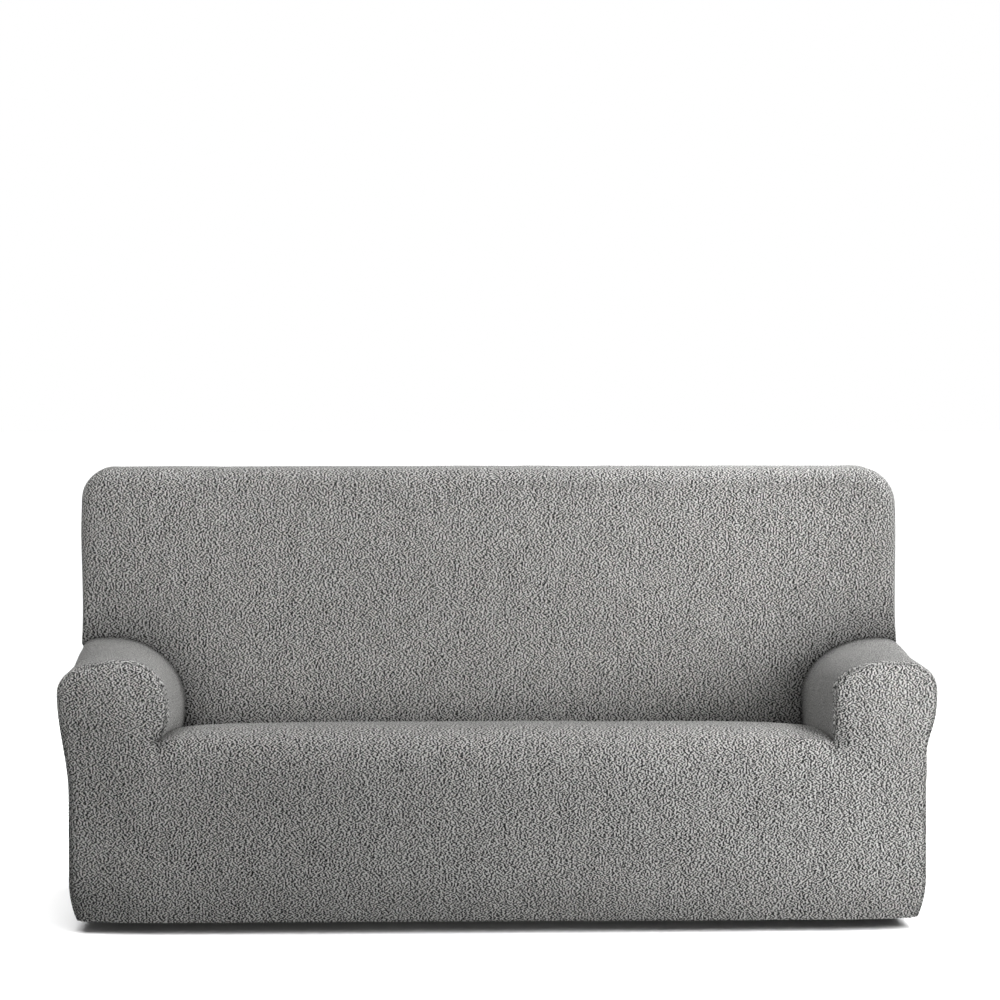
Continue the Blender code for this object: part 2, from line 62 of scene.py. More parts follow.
BACK_HALF = 0.955  # half the width of the back
BACK_TOP = 0.984
BACK_CORNER = {-1: 0.070, 1: 0.085}  # corner radius in front view
BACK_BARREL = 0.003  # the sides draw in a little towards the top
BARREL_Z = 0.70  # from this height on
BACK_RIM = 0.045  # radius of the rim, from the face to the top and sides
RIM_FOOT = 0.016  # the rim's depth where it grows out of an arm's shoulder
RIM_GROWTH = 0.25  # height that it needs to reach its full size
BACK_FOOT_Y = 0.625  # where the face of the back meets the seat
BACK_LEAN = 0.16  # run of the face for each metre up
BACK_PUFF = 0.016  # how far the middle of the face stands out
BACK_PUFF_Z = (0.72, 0.32)  # middle and reach of that
BACK_FLAT = 4  # power: how flat it stays on the way out to the sides
BACK_CREASE = 0.012  # radius of the crease between an arm and the back
REAR_Y = 0.865
REAR_LEAN = 0.030
REAR_RIM = 0.022
REAR_ARCH = 3  # power: how late the rear's rows take the arch of its top

HEM_Z = 0.0275  # the hem's height over the floor
HEM_RISE = 0.090  # height over which the cloth curls in towards the hem
HEM_CURL = 0.017  # how far it curls in
HEM_TURN = 0.012  # cloth turned under at the hem
HEM_DROP = 0.001  # how far below the hem it ends
HEM_SIDES = (0.870, 0.905)  # X over which it goes over to the sides
HEM_FRONT = (0.05, 0.12)  # Y over which it leaves the front
HEM_REAR = (REAR_Y - 0.09, REAR_Y - 0.03)  # and over which it takes up the rear

SIDE_X = {-1: 0.936, 1: 0.943}  # outer side of the arms, below the roll
SIDE_SWELL_Z = 0.300  # height from which the side swells out to the roll
SIDE_PACE = 1.6  # power: the stations of a side lie closer towards the hem
SHOULDER_Z = 0.572  # where an arm's outer side meets the back's rim

FRONT_RIM = 0.022  # radius of the edge round an arm's front
RIM_END = 0.90  # station round an arm from which that edge fades out
LOBE_START = 0.70  # the front rounds back beyond this, towards its outer edges,
LOBE_FALL = 0.038  # by this much
LOBE_RIM = 0.10  # share of a lobe row that lies in its rounded edge
LOBE_BOW = 0.058  # how far the rows of an arm's front bow round its inner corner
BOW_POWER = 1.8  # how far up most of the bow lies
FRONT_SWELLS = (
    # how far back an arm's front lies there, then middle and reach in X and in Z
    (-0.016, 0.835, 0.085, 0.505, 0.085),
    (0.012, 0.86, 0.10, 0.27, 0.11),
)
INNER_FOLD = 0.008  # depth of the soft upright fold below an arm's inner corner
INNER_FOLD_X = (0.735, 0.045)  # middle and reach
INNER_FOLD_Z = (0.26, 0.424)
PUCKER = 0.010  # how far the seam sinks in at the arm's inner corner
PUCKER_START = 0.88  # station from which it sinks
PUCKER_RISE = 0.06  # height below the corner over which the front sinks with it

SEAT_CROWN = 0.4510  # height of the seat's crown
SEAT_REAR = 0.385  # height of the seat at the back
SEAT_FALL = 1.5  # power of the seat's fall to the rear
SEAT_BULGE = 0.030  # how far the seat's front stands out before the arms
SEAT_FLAT = 6  # power: how flat the seat stays on the way out to the arms
FRONT_FLAT = 4  # the same for its front, under the roll
FRONT_BROAD = 0.40  # share of the way out from which the low front falls back
ROLL_DEPTH = 0.110  # front roll of the seat, front to back
ROLL_HEIGHT = 0.085  # and from its crown down
ROLL_POWER = 2.3

# Stations up the front and over the seat: 0 at the hem, 1 halfway round the roll and 2
# at the back.
ROLL_START = 0.80
ROLL_END = 1.16
SEAT_SHARPENS = (0.68, 1.0)  # the front's broad swell turns into the seat's full one
FRONT_FILLS = (1.0, 1.3)  # the front's softer edge turns into the seat's
REAR_JOINS = (1.5, 2.0)  # the seat takes up the curve of the back's face

# An arm's section at three depths, seen from the front: X is measured outwards from
# the middle of the cover. A power is a superellipse's exponent, 2 for an ellipse and
# more for a squarer shoulder.
ARM_COLUMNS = (
    "depth", "outer_x", "outer_z", "outer_power", "crown_x", "crown_z",
    "inner_x", "wall_z", "inner_power", "crease_x", "crease_z",
)
ARM_ROWS = {
    -1: (
        (0.0, 0.960, 0.525, 2.1, 0.818, 0.602, 0.713, 0.490, 2.3, 0.737, 0.4245),
        (0.4, 0.950, 0.525, 2.3, 0.846, 0.598, 0.713, 0.468, 2.2, 0.723, 0.4180),
        (1.0, 0.954, 0.540, 4.0, 0.885, 0.592, 0.714, 0.441, 2.0, 0.718, 0.3860),
    ),
    1: (
        (0.0, 0.966, 0.524, 2.2, 0.870, 0.595, 0.731, 0.530, 2.3, 0.734, 0.4180),
        (0.4, 0.957, 0.525, 2.3, 0.890, 0.590, 0.731, 0.490, 2.2, 0.731, 0.4160),
        (1.0, 0.957, 0.540, 4.0, 0.912, 0.586, 0.731, 0.450, 2.1, 0.731, 0.3860),
    ),
}

# Stations round an arm's section, from the outer hem over the roll to the seat:
# each stretch ends at its share of the way and has its own number of steps.
SECTION = {"bulge": 0.30, "crown": 0.52, "wall": 0.78, "crease": 1.0}
SECTION_STEPS = {"bulge": 58, "crown": 24, "wall": 24, "crease": 10}
CROWN_STEP = SECTION_STEPS["bulge"] + SECTION_STEPS["crown"]
CREASE_GROWS = (SECTION["bulge"] + 0.10, SECTION["crown"])  # its crease at the back
FRONT_PACE = 0.35  # the front's rows lie closer towards the roll than the arms' do,
COLUMN_PACE = 1.2  # and those beside the lobes a little closer towards the hem
SEAT_STEPS = 90  # from the middle of the seat to an arm
SEAT_PACE = 1.2  # power of their closeness towards the arm
# The back: up its side and round its corner, then round its rim and over its depth.
SIDE_STEPS = 44
CORNER_STEPS = 12
RIM_STEPS = 8
DEPTH_STEPS = 12
REAR_STEPS = 3
FACE_RISE = 0.690  # height at the middle of the row that joins the arms' crowns
FACE_BESIDE = 0.6  # share of the way in over which the face's columns follow its sides

ROUND_SHARE = 1 - math.sqrt(0.5)  # inset of a rounded edge's middle, for a radius of 1


# ---- Small helpers ------------------------------------------------------------------

def spread(*stops):
    """Even stations between stops, given as value, steps, value, steps, ..., value."""
    stations = []
    for place in range(0, len(stops) - 1, 2):
        start, steps, end = stops[place:place + 3]
        stations += [start + (end - start) * step / steps for step in range(steps)]
    return tuple(stations) + (stops[-1],)


# Over the depth of an arm they lie closer at both ends, over an arm's front closer in
# its rounded edge, and from the middle of the seat to an arm closer towards the arm.
DEPTH_STATIONS = spread(0.0, 7, 0.04, 72, 0.975, 6, 1.0)
LOBE_STATIONS = spread(0.0, 5, LOBE_RIM, 22, 1.0)
SEAT_STATIONS = tuple(1 - (1 - share) ** SEAT_PACE for share in spread(0.0, SEAT_STEPS, 1.0))


def mix(start, end, share):
    return start + (end - start) * share


def stretch(start, end, steps):
    return [mix(start, end, step / steps) for step in range(steps)]


def paced(share, pace):
    """A share of the way, taken faster at first for a pace under 1."""
    return share / (share + pace * (1 - share))


def ease(value, start, end):
    """0 at start and 1 at end, level at both."""
    share = min(max((value - start) / (end - start), 0.0), 1.0)
    return share * share * (3 - 2 * share)


def eased(values, start, end):
    """The same for an array."""
    share = np.clip((values - start) / (end - start), 0.0, 1.0)
    return share * share * (3 - 2 * share)


def bump(value, middle, reach):
    return math.exp(-(((value - middle) / reach) ** 2))


def round_inset(distance, radius):
    """How far a quarter-round edge lies inside its corner, this far from its middle."""
    run = math.sqrt(0.5) - distance / radius
    if run <= 0:
        return 0.0
    return radius * (1 - math.sqrt(1 - run * run))


def quarter(angle, power):
    """A point on a superellipse's quarter, of half axes 1, in this direction."""
    across, up = math.cos(angle), math.sin(angle)
    reach = (abs(across) ** power + abs(up) ** power) ** (-1 / power)
    return across * reach, up * reach


def tree_of(places):
    """A search tree for the nearest of these places."""
    tree = kdtree.KDTree(len(places))
    for index, place in enumerate(places):
        tree.insert(place, index)
    tree.balance()
    return tree


# ---- The arms -----------------------------------------------------------------------

def arm_sizes(side, depth):
    """The arm's section at this share of its depth, mixed from the rows of the table."""
    rows = ARM_ROWS[side]
    low = rows[0] if depth <= rows[1][0] else rows[1]
    high = rows[1] if depth <= rows[1][0] else rows[2]
    share = (depth - low[0]) / (high[0] - low[0])
    return {name: mix(a, b, share) for name, a, b in zip(ARM_COLUMNS, low, high)}


def hem_inset(z):
    """How far the cloth has curled in, at this height over the floor."""
    rise = max(HEM_Z + HEM_RISE - z, 0.0) / HEM_RISE
    return HEM_CURL * rise * rise


def section_point(side, depth, s):
    """X (outwards) and Z on an arm's section. s runs from the outer hem to the seat."""
    size = arm_sizes(side, depth)
    if s < SECTION["bulge"]:
        share = (max(s, 0.0) / SECTION["bulge"]) ** SIDE_PACE
        z = mix(HEM_Z, size["outer_z"], share)
        swell = ease(z, SIDE_SWELL_Z, size["outer_z"])
        return mix(SIDE_X[side], size["outer_x"], swell) - hem_inset(z), z
    if s < SECTION["crown"]:
        turn = (s - SECTION["bulge"]) / (SECTION["crown"] - SECTION["bulge"])
        across, up = quarter(turn * math.pi / 2, size["outer_power"])
        x = mix(size["crown_x"], size["outer_x"], across)
        return x, mix(size["outer_z"], size["crown_z"], up)
    if s < SECTION["wall"]:
        turn = (s - SECTION["crown"]) / (SECTION["wall"] - SECTION["crown"])
        across, up = quarter((1 - turn) * math.pi / 2, size["inner_power"])
        x = mix(size["crown_x"], size["inner_x"], across)
        return x, mix(size["wall_z"], size["crown_z"], up)
    share = (s - SECTION["wall"]) / (1 - SECTION["wall"])
    x = mix(size["inner_x"], size["crease_x"], share * share)
    return x, mix(size["wall_z"], size["crease_z"], share)


def section_normal(side, depth, s):
    """The section's outward normal, in X (outwards) and Z."""
    if s <= 0:
        return 1.0, 0.0
    step = 0.004
    x0, z0 = section_point(side, depth, max(s - step, 0.0))
    x1, z1 = section_point(side, depth, min(s + step, 1.0))
    along = math.hypot(x1 - x0, z1 - z0)
    return (z1 - z0) / along, -(x1 - x0) / along


def front_y(x, z):
    """Y of the front cloth beside the seat. x is measured outwards from the middle."""
    y = LOBE_FALL * (max(x - LOBE_START, 0.0) / (BACK_HALF - LOBE_START)) ** 2
    for depth, middle_x, reach_x, middle_z, reach_z in FRONT_SWELLS:
        y += depth * bump(x, middle_x, reach_x) * bump(z, middle_z, reach_z)
    fold = INNER_FOLD * bump(x, *INNER_FOLD_X) * ease(z, *INNER_FOLD_Z)
    return y + fold + hem_inset(z)


def pucker(s):
    """How far the seam sinks in where it turns the corner onto the seat."""
    return PUCKER * ease(s, PUCKER_START, 1.0)


def front_seam(side, s):
    """The seam round an arm's front: X outwards, Y and Z."""
    hold = 1 - ease(s, RIM_END, 1.0)
    x, z = section_point(side, 0.0, s)
    across, up = section_normal(side, 0.0, s)
    inset = FRONT_RIM * ROUND_SHARE * hold
    x -= across * inset
    z -= up * inset
    return x, front_y(x, z) + FRONT_RIM * ROUND_SHARE + pucker(s), z


def back_y(x, z):
    """Y of the back's face. x is measured from the middle, either way."""
    middle, reach = BACK_PUFF_Z
    upright = max(1 - ((z - middle) / reach) ** 2, 0.0)
    across = 1 - min(abs(x) / BACK_HALF, 1.0) ** BACK_FLAT
    return BACK_FOOT_Y + BACK_LEAN * (z - SEAT_REAR) - BACK_PUFF * upright * across


def arm_end_y(side, s):
    """Y where an arm's section meets the back."""
    x, z = section_point(side, 1.0, s)
    crease = BACK_CREASE * ROUND_SHARE * ease(s, *CREASE_GROWS)
    return back_y(x, max(z, SHOULDER_Z) if s < SECTION["crown"] else z) - crease


def arm_point(side, s, depth):
    """A point of an arm, s round its section and depth from its front to the back."""
    start, end = front_seam(side, s)[1], arm_end_y(side, s)
    y = mix(start, end, depth)
    x, z = section_point(side, depth, s)
    across, up = section_normal(side, depth, s)
    hold = 1 - ease(s, RIM_END, 1.0)
    inset = round_inset(y - start, FRONT_RIM) * hold
    flare = ease(s, *CREASE_GROWS) * hold
    inset -= round_inset(end - y, BACK_CREASE) * flare
    return Vector((side * (x - across * inset), y, z - up * inset))


# ---- The front and the seat ---------------------------------------------------------

def front_station(g):
    """The station of the arms at this height of the front: the inverse of its pace."""
    return FRONT_PACE * g / (1 - (1 - FRONT_PACE) * g)


def column_point(side, s):
    """The line where the front's lobe ends and the seat's front begins."""
    corner_x, _, corner_z = front_seam(side, 1.0)
    z = mix(HEM_Z, corner_z, paced(s, COLUMN_PACE))
    sunk = (FRONT_RIM * ROUND_SHARE + PUCKER) * ease(z, corner_z - PUCKER_RISE, corner_z)
    return corner_x, front_y(corner_x, z) + sunk, z


def lobe_point(side, s, share):
    """A point of an arm's front, from the seam (0) in to the column (1)."""
    start_x, _, start_z = front_seam(side, s)
    across, up = section_normal(side, 0.0, s)
    hold = 1 - ease(s, PUCKER_START, 1.0)
    rim = FRONT_RIM * (1 - ROUND_SHARE)
    inset = min(share / LOBE_RIM, 1.0) * rim * hold
    x, z = start_x - across * inset, start_z - up * inset
    inner_x, inner_y, inner_z = column_point(side, s)
    inwards = max(share - LOBE_RIM, 0.0) / (1 - LOBE_RIM)
    x, z = mix(x, inner_x, inwards), mix(z, inner_z, inwards)
    x += LOBE_BOW * math.sin(math.pi * s ** BOW_POWER) * math.sin(math.pi * inwards)
    sunk = mix(pucker(s), inner_y - front_y(inner_x, inner_z), inwards)
    y = front_y(x, z) + round_inset(inset, FRONT_RIM) * (1 - inwards) + sunk
    return Vector((side * x, y, z))


def middle_profile(g):
    """Y and Z down the middle, from the hem over the roll to the back."""
    front = -SEAT_BULGE
    if g <= ROLL_START:
        share = g / ROLL_START
        z = mix(HEM_Z, SEAT_CROWN - ROLL_HEIGHT, share)
        return front * math.sin(share * math.pi / 2) + hem_inset(z), z
    if g <= ROLL_END:
        turn = (g - ROLL_START) / (1 - ROLL_START) if g <= 1 else 1 + (g - 1) / (ROLL_END - 1)
        across, up = quarter(turn * math.pi / 4, ROLL_POWER)
        y = front + ROLL_DEPTH * (1 - across)
        return y, SEAT_CROWN - ROLL_HEIGHT * (1 - up)
    share = (g - ROLL_END) / (2 - ROLL_END)
    start, end = front + ROLL_DEPTH, back_y(0.0, SEAT_REAR) - BACK_CREASE * ROUND_SHARE
    return mix(start, end, share), mix(SEAT_CROWN, SEAT_REAR, share ** SEAT_FALL)


def seat_point(side, across, g):
    """A point of the seat and its front. across is 0 at the middle and 1 at the arm."""
    if g <= 1:
        x, y, z = column_point(side, front_station(g))
    else:
        x, y, z = arm_point(side, 1.0, g - 1)
        x *= side
    middle_y, middle_z = middle_profile(g)
    broad = 1 - ease(across, FRONT_BROAD, 1.0)
    full = math.sqrt(max(1 - across ** SEAT_FLAT, 0.0))
    sharp = ease(g, *SEAT_SHARPENS)
    swell = mix(broad, full, sharp)
    soft = mix(broad, 1 - across ** FRONT_FLAT, sharp)
    forward = mix(soft, swell, ease(g, *FRONT_FILLS))
    rear = back_y(across * x, z) - back_y(0.0, SEAT_REAR)
    rear *= ease(g, *REAR_JOINS) * swell
    return Vector((side * across * x, mix(y, middle_y, forward) + rear, mix(z, middle_z, swell)))


# ---- The back -----------------------------------------------------------------------

def station_at(side, z):
    """The station on an arm's outer side at this height, at the back."""
    outer_z = arm_sizes(side, 1.0)["outer_z"]
    if z <= outer_z:
        return SECTION["bulge"] * (max(z - HEM_Z, 0.0) / (outer_z - HEM_Z)) ** (1 / SIDE_PACE)
    low, high = SECTION["bulge"], SECTION["crown"]
    halvings = 30
    for _ in range(halvings):
        middle = (low + high) / 2
        if section_point(side, 1.0, middle)[1] < z:
            low = middle
        else:
            high = middle
    return low


def shoulder_station(side):
    return station_at(side, SHOULDER_Z)


def shoulder_x(side):
    return section_point(side, 1.0, shoulder_station(side))[0]


def outline_point(side, walk):
    """The back's outline in front view, and its normal: X outwards and Z.

    walk is 0 at the shoulder, 1 where the corner starts, 2 where it ends and 3 at the
    middle of the back.
    """
    radius = BACK_CORNER[side]
    corner_x = BACK_HALF - BACK_BARREL - radius
    corner_z = BACK_TOP - radius
    if walk <= 1:
        z = mix(SHOULDER_Z, corner_z, walk)
        if z <= SHOULDER_Z:
            return shoulder_x(side), z, 1.0, 0.0
        return BACK_HALF - BACK_BARREL * ease(z, BARREL_Z, BACK_TOP), z, 1.0, 0.0
    if walk <= 2:
        angle = (walk - 1) * math.pi / 2
        across, up = math.cos(angle), math.sin(angle)
        return corner_x + radius * across, corner_z + radius * up, across, up
    return corner_x * (3 - walk), BACK_TOP, 0.0, 1.0


def rear_y(z):
    return REAR_Y + REAR_LEAN * z / BACK_TOP


def rim_size(z):
    """The rim's inset and its depth. It grows out of the arm's shoulder."""
    grown = ease(z, SHOULDER_Z, SHOULDER_Z + RIM_GROWTH)
    return BACK_RIM * grown, mix(RIM_FOOT, BACK_RIM, grown)


def wrap_point(side, outline, share_rim, share_depth, share_rear):
    """A point past the back's face: round the rim, over the depth, to the rear seam."""
    x, z, across, up = outline
    radius, depth = rim_size(z)
    edge_x, edge_z = x - across * radius, z - up * radius
    start = back_y(edge_x, max(edge_z, SHOULDER_Z))
    angle = share_rim * math.pi / 2
    inset = radius * (1 - math.sin(angle))
    y = start + depth * (1 - math.cos(angle))
    if share_depth > 0:
        y = mix(y, rear_y(z) - REAR_RIM, share_depth)
    if share_rear > 0:
        angle = share_rear * math.pi / 4
        inset = REAR_RIM * (1 - math.cos(angle))
        y = rear_y(z) - REAR_RIM * (1 - math.sin(angle))
    return Vector((side * (x - across * inset), y, z - up * inset))


def edge_point(side, walk):
    """Where the face of the back meets its rim."""
    return wrap_point(side, outline_point(side, walk), 0.0, 0.0, 0.0)


# ---- Stations -----------------------------------------------------------------------

def section_stations(side):
    """Stations from the outer hem to the seat, and which of them is the shoulder."""
    stops, start = [], 0.0
    for name, end in SECTION.items():
        stops += stretch(start, end, SECTION_STEPS[name])
        start = end
    stops.append(1.0)
    shoulder = shoulder_station(side)
    nearest = min(range(len(stops)), key=lambda index: abs(stops[index] - shoulder))
    stops[nearest] = shoulder
    return stops, nearest


def seat_columns():
    """Side and share of each column of the seat, from the left arm to the right one."""
    left = [(-1, share) for share in SEAT_STATIONS[:0:-1]]
    return left + [(1, share) for share in SEAT_STATIONS]


def side_walks():
    """From a shoulder up to the middle of its corner."""
    return stretch(0.0, 1.0, SIDE_STEPS) + stretch(1.0, 1.5, CORNER_STEPS // 2) + [1.5]


def top_walks(columns):
    """From the middle of a corner to the middle of the back."""
    half = CORNER_STEPS // 2
    return stretch(1.5, 2.0, half) + stretch(2.0, 3.0, columns - half) + [3.0]


def wrap_stations():
    """Shares round the rim, over the depth and round the rear edge, row by row."""
    rows = [(step / RIM_STEPS, 0.0, 0.0) for step in range(1, RIM_STEPS + 1)]
    rows += [(1.0, step / DEPTH_STEPS, 0.0) for step in range(1, DEPTH_STEPS + 1)]
    rows += [(1.0, 1.0, step / REAR_STEPS) for step in range(1, REAR_STEPS + 1)]
    return rows


# ---- The grids ----------------------------------------------------------------------

def turn_under(point):
    """Where the cloth turned under at the hem ends, for a point of the hem."""
    side = math.copysign(1.0, point.x)
    inwards = HEM_TURN * ease(abs(point.x), *HEM_SIDES)
    front = HEM_TURN * (1 - ease(point.y, *HEM_FRONT))
    rear = HEM_TURN * ease(point.y, *HEM_REAR)
    return Vector((point.x - side * inwards, point.y + front - rear, point.z - HEM_DROP))


def hemmed(rows):
    """Rows from the hem up, with a row before them for the cloth that is turned under."""
    return [[turn_under(point) for point in rows[0]]] + rows


def lobe_grid(side):
    stations, _ = section_stations(side)
    return hemmed([[lobe_point(side, s, share) for share in LOBE_STATIONS] for s in stations])


def seat_grid():
    """The seat and its front, from the hem to the back."""
    rows = []
    for stations in zip(section_stations(-1)[0], section_stations(1)[0]):
        shares = {side: paced(s, FRONT_PACE) for side, s in zip((-1, 1), stations)}
        rows.append([seat_point(side, across, shares[side]) for side, across in seat_columns()])
    for depth in DEPTH_STATIONS[1:]:
        rows.append([seat_point(side, across, 1 + depth) for side, across in seat_columns()])
    return hemmed(rows)


def arm_grid(side):
    stations, _ = section_stations(side)
    return hemmed([[arm_point(side, s, depth) for depth in DEPTH_STATIONS] for s in stations])


def strip_grid(side):
    """The side behind an arm, up to the shoulder."""
    stations, shoulder = section_stations(side)
    rows = []
    for s in stations[:shoulder + 1]:
        outline = (*section_point(side, 1.0, s), 1.0, 0.0)
        row = [arm_point(side, s, 1.0)]
        rows.append(row + [wrap_point(side, outline, *shares) for shares in wrap_stations()])
    return hemmed(rows)


def face_below(seat_rear):
    """The back between the arms, as rows from the seat up to the arms' crowns."""
    stations = {side: section_stations(side)[0] for side in (-1, 1)}
    last = len(stations[1]) - 1
    rows = [list(seat_rear)]
    for index in range(last - 1, CROWN_STEP - 1, -1):
        height = mix(SEAT_REAR, FACE_RISE, (last - index) / (last - CROWN_STEP))
        row = []
        for side, across in seat_columns():
            foot = arm_point(side, stations[side][index], 1.0)
            x = across * foot.x * side
            z = mix(foot.z, height, math.sqrt(1 - across ** SEAT_FLAT))
            row.append(Vector((side * x, back_y(x, z), z)) if across < 1 else foot)
        rows.append(row)
    return rows


def face_above(crown_row):
    """The back from the arms' shoulders and crowns up to the edge of its rim, as rows."""
    feet, edges = {}, {}
    for side in (-1, 1):
        stations, shoulder = section_stations(side)
        feet[side] = [arm_point(side, s, 1.0) for s in stations[shoulder:CROWN_STEP]]
        edges[side] = [edge_point(side, walk) for walk in side_walks()]
        edges[side][0] = feet[side][0]
    bottom = feet[-1] + crown_row + feet[1][::-1]
    middle = len(bottom) // 2
    walks = top_walks(middle)
    top = [edge_point(-1, walk) for walk in walks]
    top += [edge_point(1, walk) for walk in walks[-2::-1]]
    steps = len(side_walks()) - 1
    rows = []
    for index in range(steps + 1):
        row = []
        for column, (low, high) in enumerate(zip(bottom, top)):
            edge = edges[-1 if column < middle else 1]
            inwards = min(column, len(bottom) - 1 - column) / middle
            beside = 1 - ease(inwards, 0.0, FACE_BESIDE)
            climbed = (edge[index].z - edge[0].z) / (edge[-1].z - edge[0].z)
            bow = edge[index] - edge[0].lerp(edge[-1], climbed)
            point = low.lerp(high, mix(index / steps, climbed, beside)) + bow * beside
            if 0 < index < steps and 0 < column < len(bottom) - 1:
                point.y = back_y(point.x, point.z)
            row.append(point)
        rows.append(row)
    return rows


def crease_in(below, above):
    """Rounds the crease between the face of the back, the arms and the seat."""
    feet = [row[0] for row in below] + [row[-1] for row in below] + list(below[0])
    columns = (len(above[0]) - len(below[0])) // 2
    feet += above[0][:columns] + above[0][-columns:]
    tree = tree_of([(foot.x, 0.0, foot.z) for foot in feet])
    for rows, start in ((below, 1), (above, 0)):
        for row in rows[start:]:
            for point in row:
                _, index, distance = tree.find((point.x, 0.0, point.z))
                if TOUCH < distance < BACK_CREASE:
                    foot = feet[index]
                    held = (back_y(foot.x, foot.z) - foot.y) / (BACK_CREASE * ROUND_SHARE)
                    point.y -= round_inset(distance, BACK_CREASE) * min(max(held, 0.0), 1.0)


def rim_grid(face):
    """The columns over the rim, from the left shoulder to the right one, and their walks."""
    middle = len(face[0]) // 2
    walks = side_walks() + top_walks(middle)[1:]
    columns, places = [], []
    for side in (-1, 1):
        edges = [row[0 if side < 0 else -1] for row in face]
        edges += face[-1][1:middle + 1] if side < 0 else face[-1][-2:middle:-1]
        half, passed = [], []
        for edge, walk in zip(edges, walks):
            outline = outline_point(side, walk)
            over = [wrap_point(side, outline, *shares) for shares in wrap_stations()]
            half.append([edge] + over)
            passed.append((side, walk))
        columns += half if side < 0 else half[::-1]
        places += passed if side < 0 else passed[::-1]
    return columns, places


def rear_grid(left_strip, right_strip, columns):
    """The rear, between the seams at its sides and its top."""
    rim = [column[-1] for column in columns]
    turn = SIDE_STEPS + CORNER_STEPS // 2
    left = [row[-1] for row in left_strip[1:]] + rim[1:turn + 1]
    right = [row[-1] for row in right_strip[1:]] + rim[-2:-turn - 2:-1]
    top = rim[turn:len(rim) - turn]
    steps = len(top) - 1
    rows = []
    for row_index, (start, end) in enumerate(zip(left, right)):
        up = row_index / (len(left) - 1)
        row = []
        for index in range(steps + 1):
            across = index / steps
            point = start.lerp(end, across)
            arch = top[index] - left[-1].lerp(right[-1], across)
            point = point + arch * up ** REAR_ARCH
            inner = min(across, 1 - across) * (end.x - start.x)
            inner = min(inner, top[index].z - point.z)
            y = rear_y(point.z) - round_inset(inner, REAR_RIM) - hem_inset(point.z)
            row.append(Vector((point.x, y, point.z)))
        row[0], row[-1] = start, end
        rows.append(row)
    rows[-1] = list(top)
    return hemmed(rows)


# ---- Flat places: where each point lies on the flat cloth, in metres -----------------

def walked_lengths(grid, along_rows):
    """A grid's points, and lengths walked from its first row or its first column."""
    points = np.array([[tuple(point) for point in row] for row in grid])
    axis = 0 if along_rows else 1
    steps = np.linalg.norm(np.diff(points, axis=axis), axis=2)
    walked = np.zeros(points.shape[:2])
    if along_rows:
        walked[1:] = np.cumsum(steps, axis=0)
    else:
        walked[:, 1:] = np.cumsum(steps, axis=1)
    return points, walked


def front_flat(grid):
    """Flat places of the front and the seat: X, and the length up from the hem."""
    points, walked = walked_lengths(grid, True)
    return np.stack([points[:, :, 0], walked], axis=2)


def lobe_flat(grid, column):
    """Flat places of an arm's front, level with the seat's front where they meet."""
    points, _ = walked_lengths(grid, True)
    heights = np.array(column)[:len(grid), None] + points[:, :, 2] - points[:, -1:, 2]
    return np.stack([points[:, :, 0], heights], axis=2)


def upright_flat(grid):
    """Flat places of a face that stands up: X and height over the hem."""
    points, _ = walked_lengths(grid, True)
    return np.stack([points[:, :, 0], points[:, :, 2] - HEM_Z], axis=2)


def arm_flat(grid):
    """Flat places of an arm: depth, and the length round it from the outer hem."""
    points, walked = walked_lengths(grid, True)
    return np.stack([points[:, :, 1], walked], axis=2)


def strip_flat(grid, arm):
    """Flat places of the side behind an arm: they go on from the arm's."""
    _, walked = walked_lengths(grid, False)
    rows = arm[:len(grid)]
    heights = np.repeat(rows[:, -1:, 1], walked.shape[1], 1)
    return np.stack([rows[:, -1, 0][:, None] + walked, heights], axis=2)


def rim_flat(grid, walks):
    """Flat places over the rim of the back: outwards from the edge of its face."""
    points, walked = walked_lengths(grid, False)
    flat = np.zeros(points.shape[:2] + (2,))
    for index, (side, walk) in enumerate(walks):
        _, _, across, up = outline_point(side, walk)
        flat[index, :, 0] = points[index, 0, 0] + side * across * walked[index]
        flat[index, :, 1] = points[index, 0, 2] - HEM_Z + up * walked[index]
    return flat


# ---- From grids to one skin ----------------------------------------------------------

class Skin:
    """The outside of the cover: points, faces of four, their panel and flat place."""

    def __init__(self):
        self.points, self.faces, self.flats, self.marks = [], [], [], []

    def add(self, panel, grid, flat, flip=False):
        """grid is rows of points, and flat the same rows in metres of flat cloth."""
        first = len(self.points)
        wide = len(grid[0])
        for row in grid:
            self.points += [tuple(point) for point in row]
        for low in range(len(grid) - 1):
            for left in range(wide - 1):
                corners = [(low, left), (low, left + 1), (low + 1, left + 1), (low + 1, left)]
                if flip:
                    corners.reverse()
                self.faces.append([first + row * wide + place for row, place in corners])
                self.flats.append([flat[row, place] for row, place in corners])
                self.marks.append(panel)

    def weld(self):
        """Joins points at one place, and works out every point's normal."""
        points = np.array(self.points)
        _, firsts, which = np.unique(
            np.round(points / WELD + WELD_OFFSET).astype(np.int64), axis=0,
            return_index=True, return_inverse=True,
        )
        self.points = points[firsts]
        self.faces = which.reshape(-1)[np.array(self.faces)]
        self.flats = np.array(self.flats)
        self.marks = np.array(self.marks)
        self.find_normals()

    def find_normals(self):
        a, b, c, d = (self.points[self.faces[:, corner]] for corner in range(4))
        across = np.cross(c - a, d - b)
        normals = np.zeros_like(self.points)
        for corner in range(4):
            np.add.at(normals, self.faces[:, corner], across)
        lengths = np.linalg.norm(normals, axis=1, keepdims=True)
        self.normals = normals / np.maximum(lengths, 1e-12)

    def points_of(self, panel):
        """Which points a panel has, as an array of true and false."""
        used = np.zeros(len(self.points), bool)
        used[np.unique(self.faces[self.marks == panel])] = True
        return used

    def seam_points(self):
        """The points where two panels meet."""
        counts = sum(self.points_of(panel).astype(int) for panel in sorted(set(self.marks)))
        return np.nonzero(counts > 1)[0]


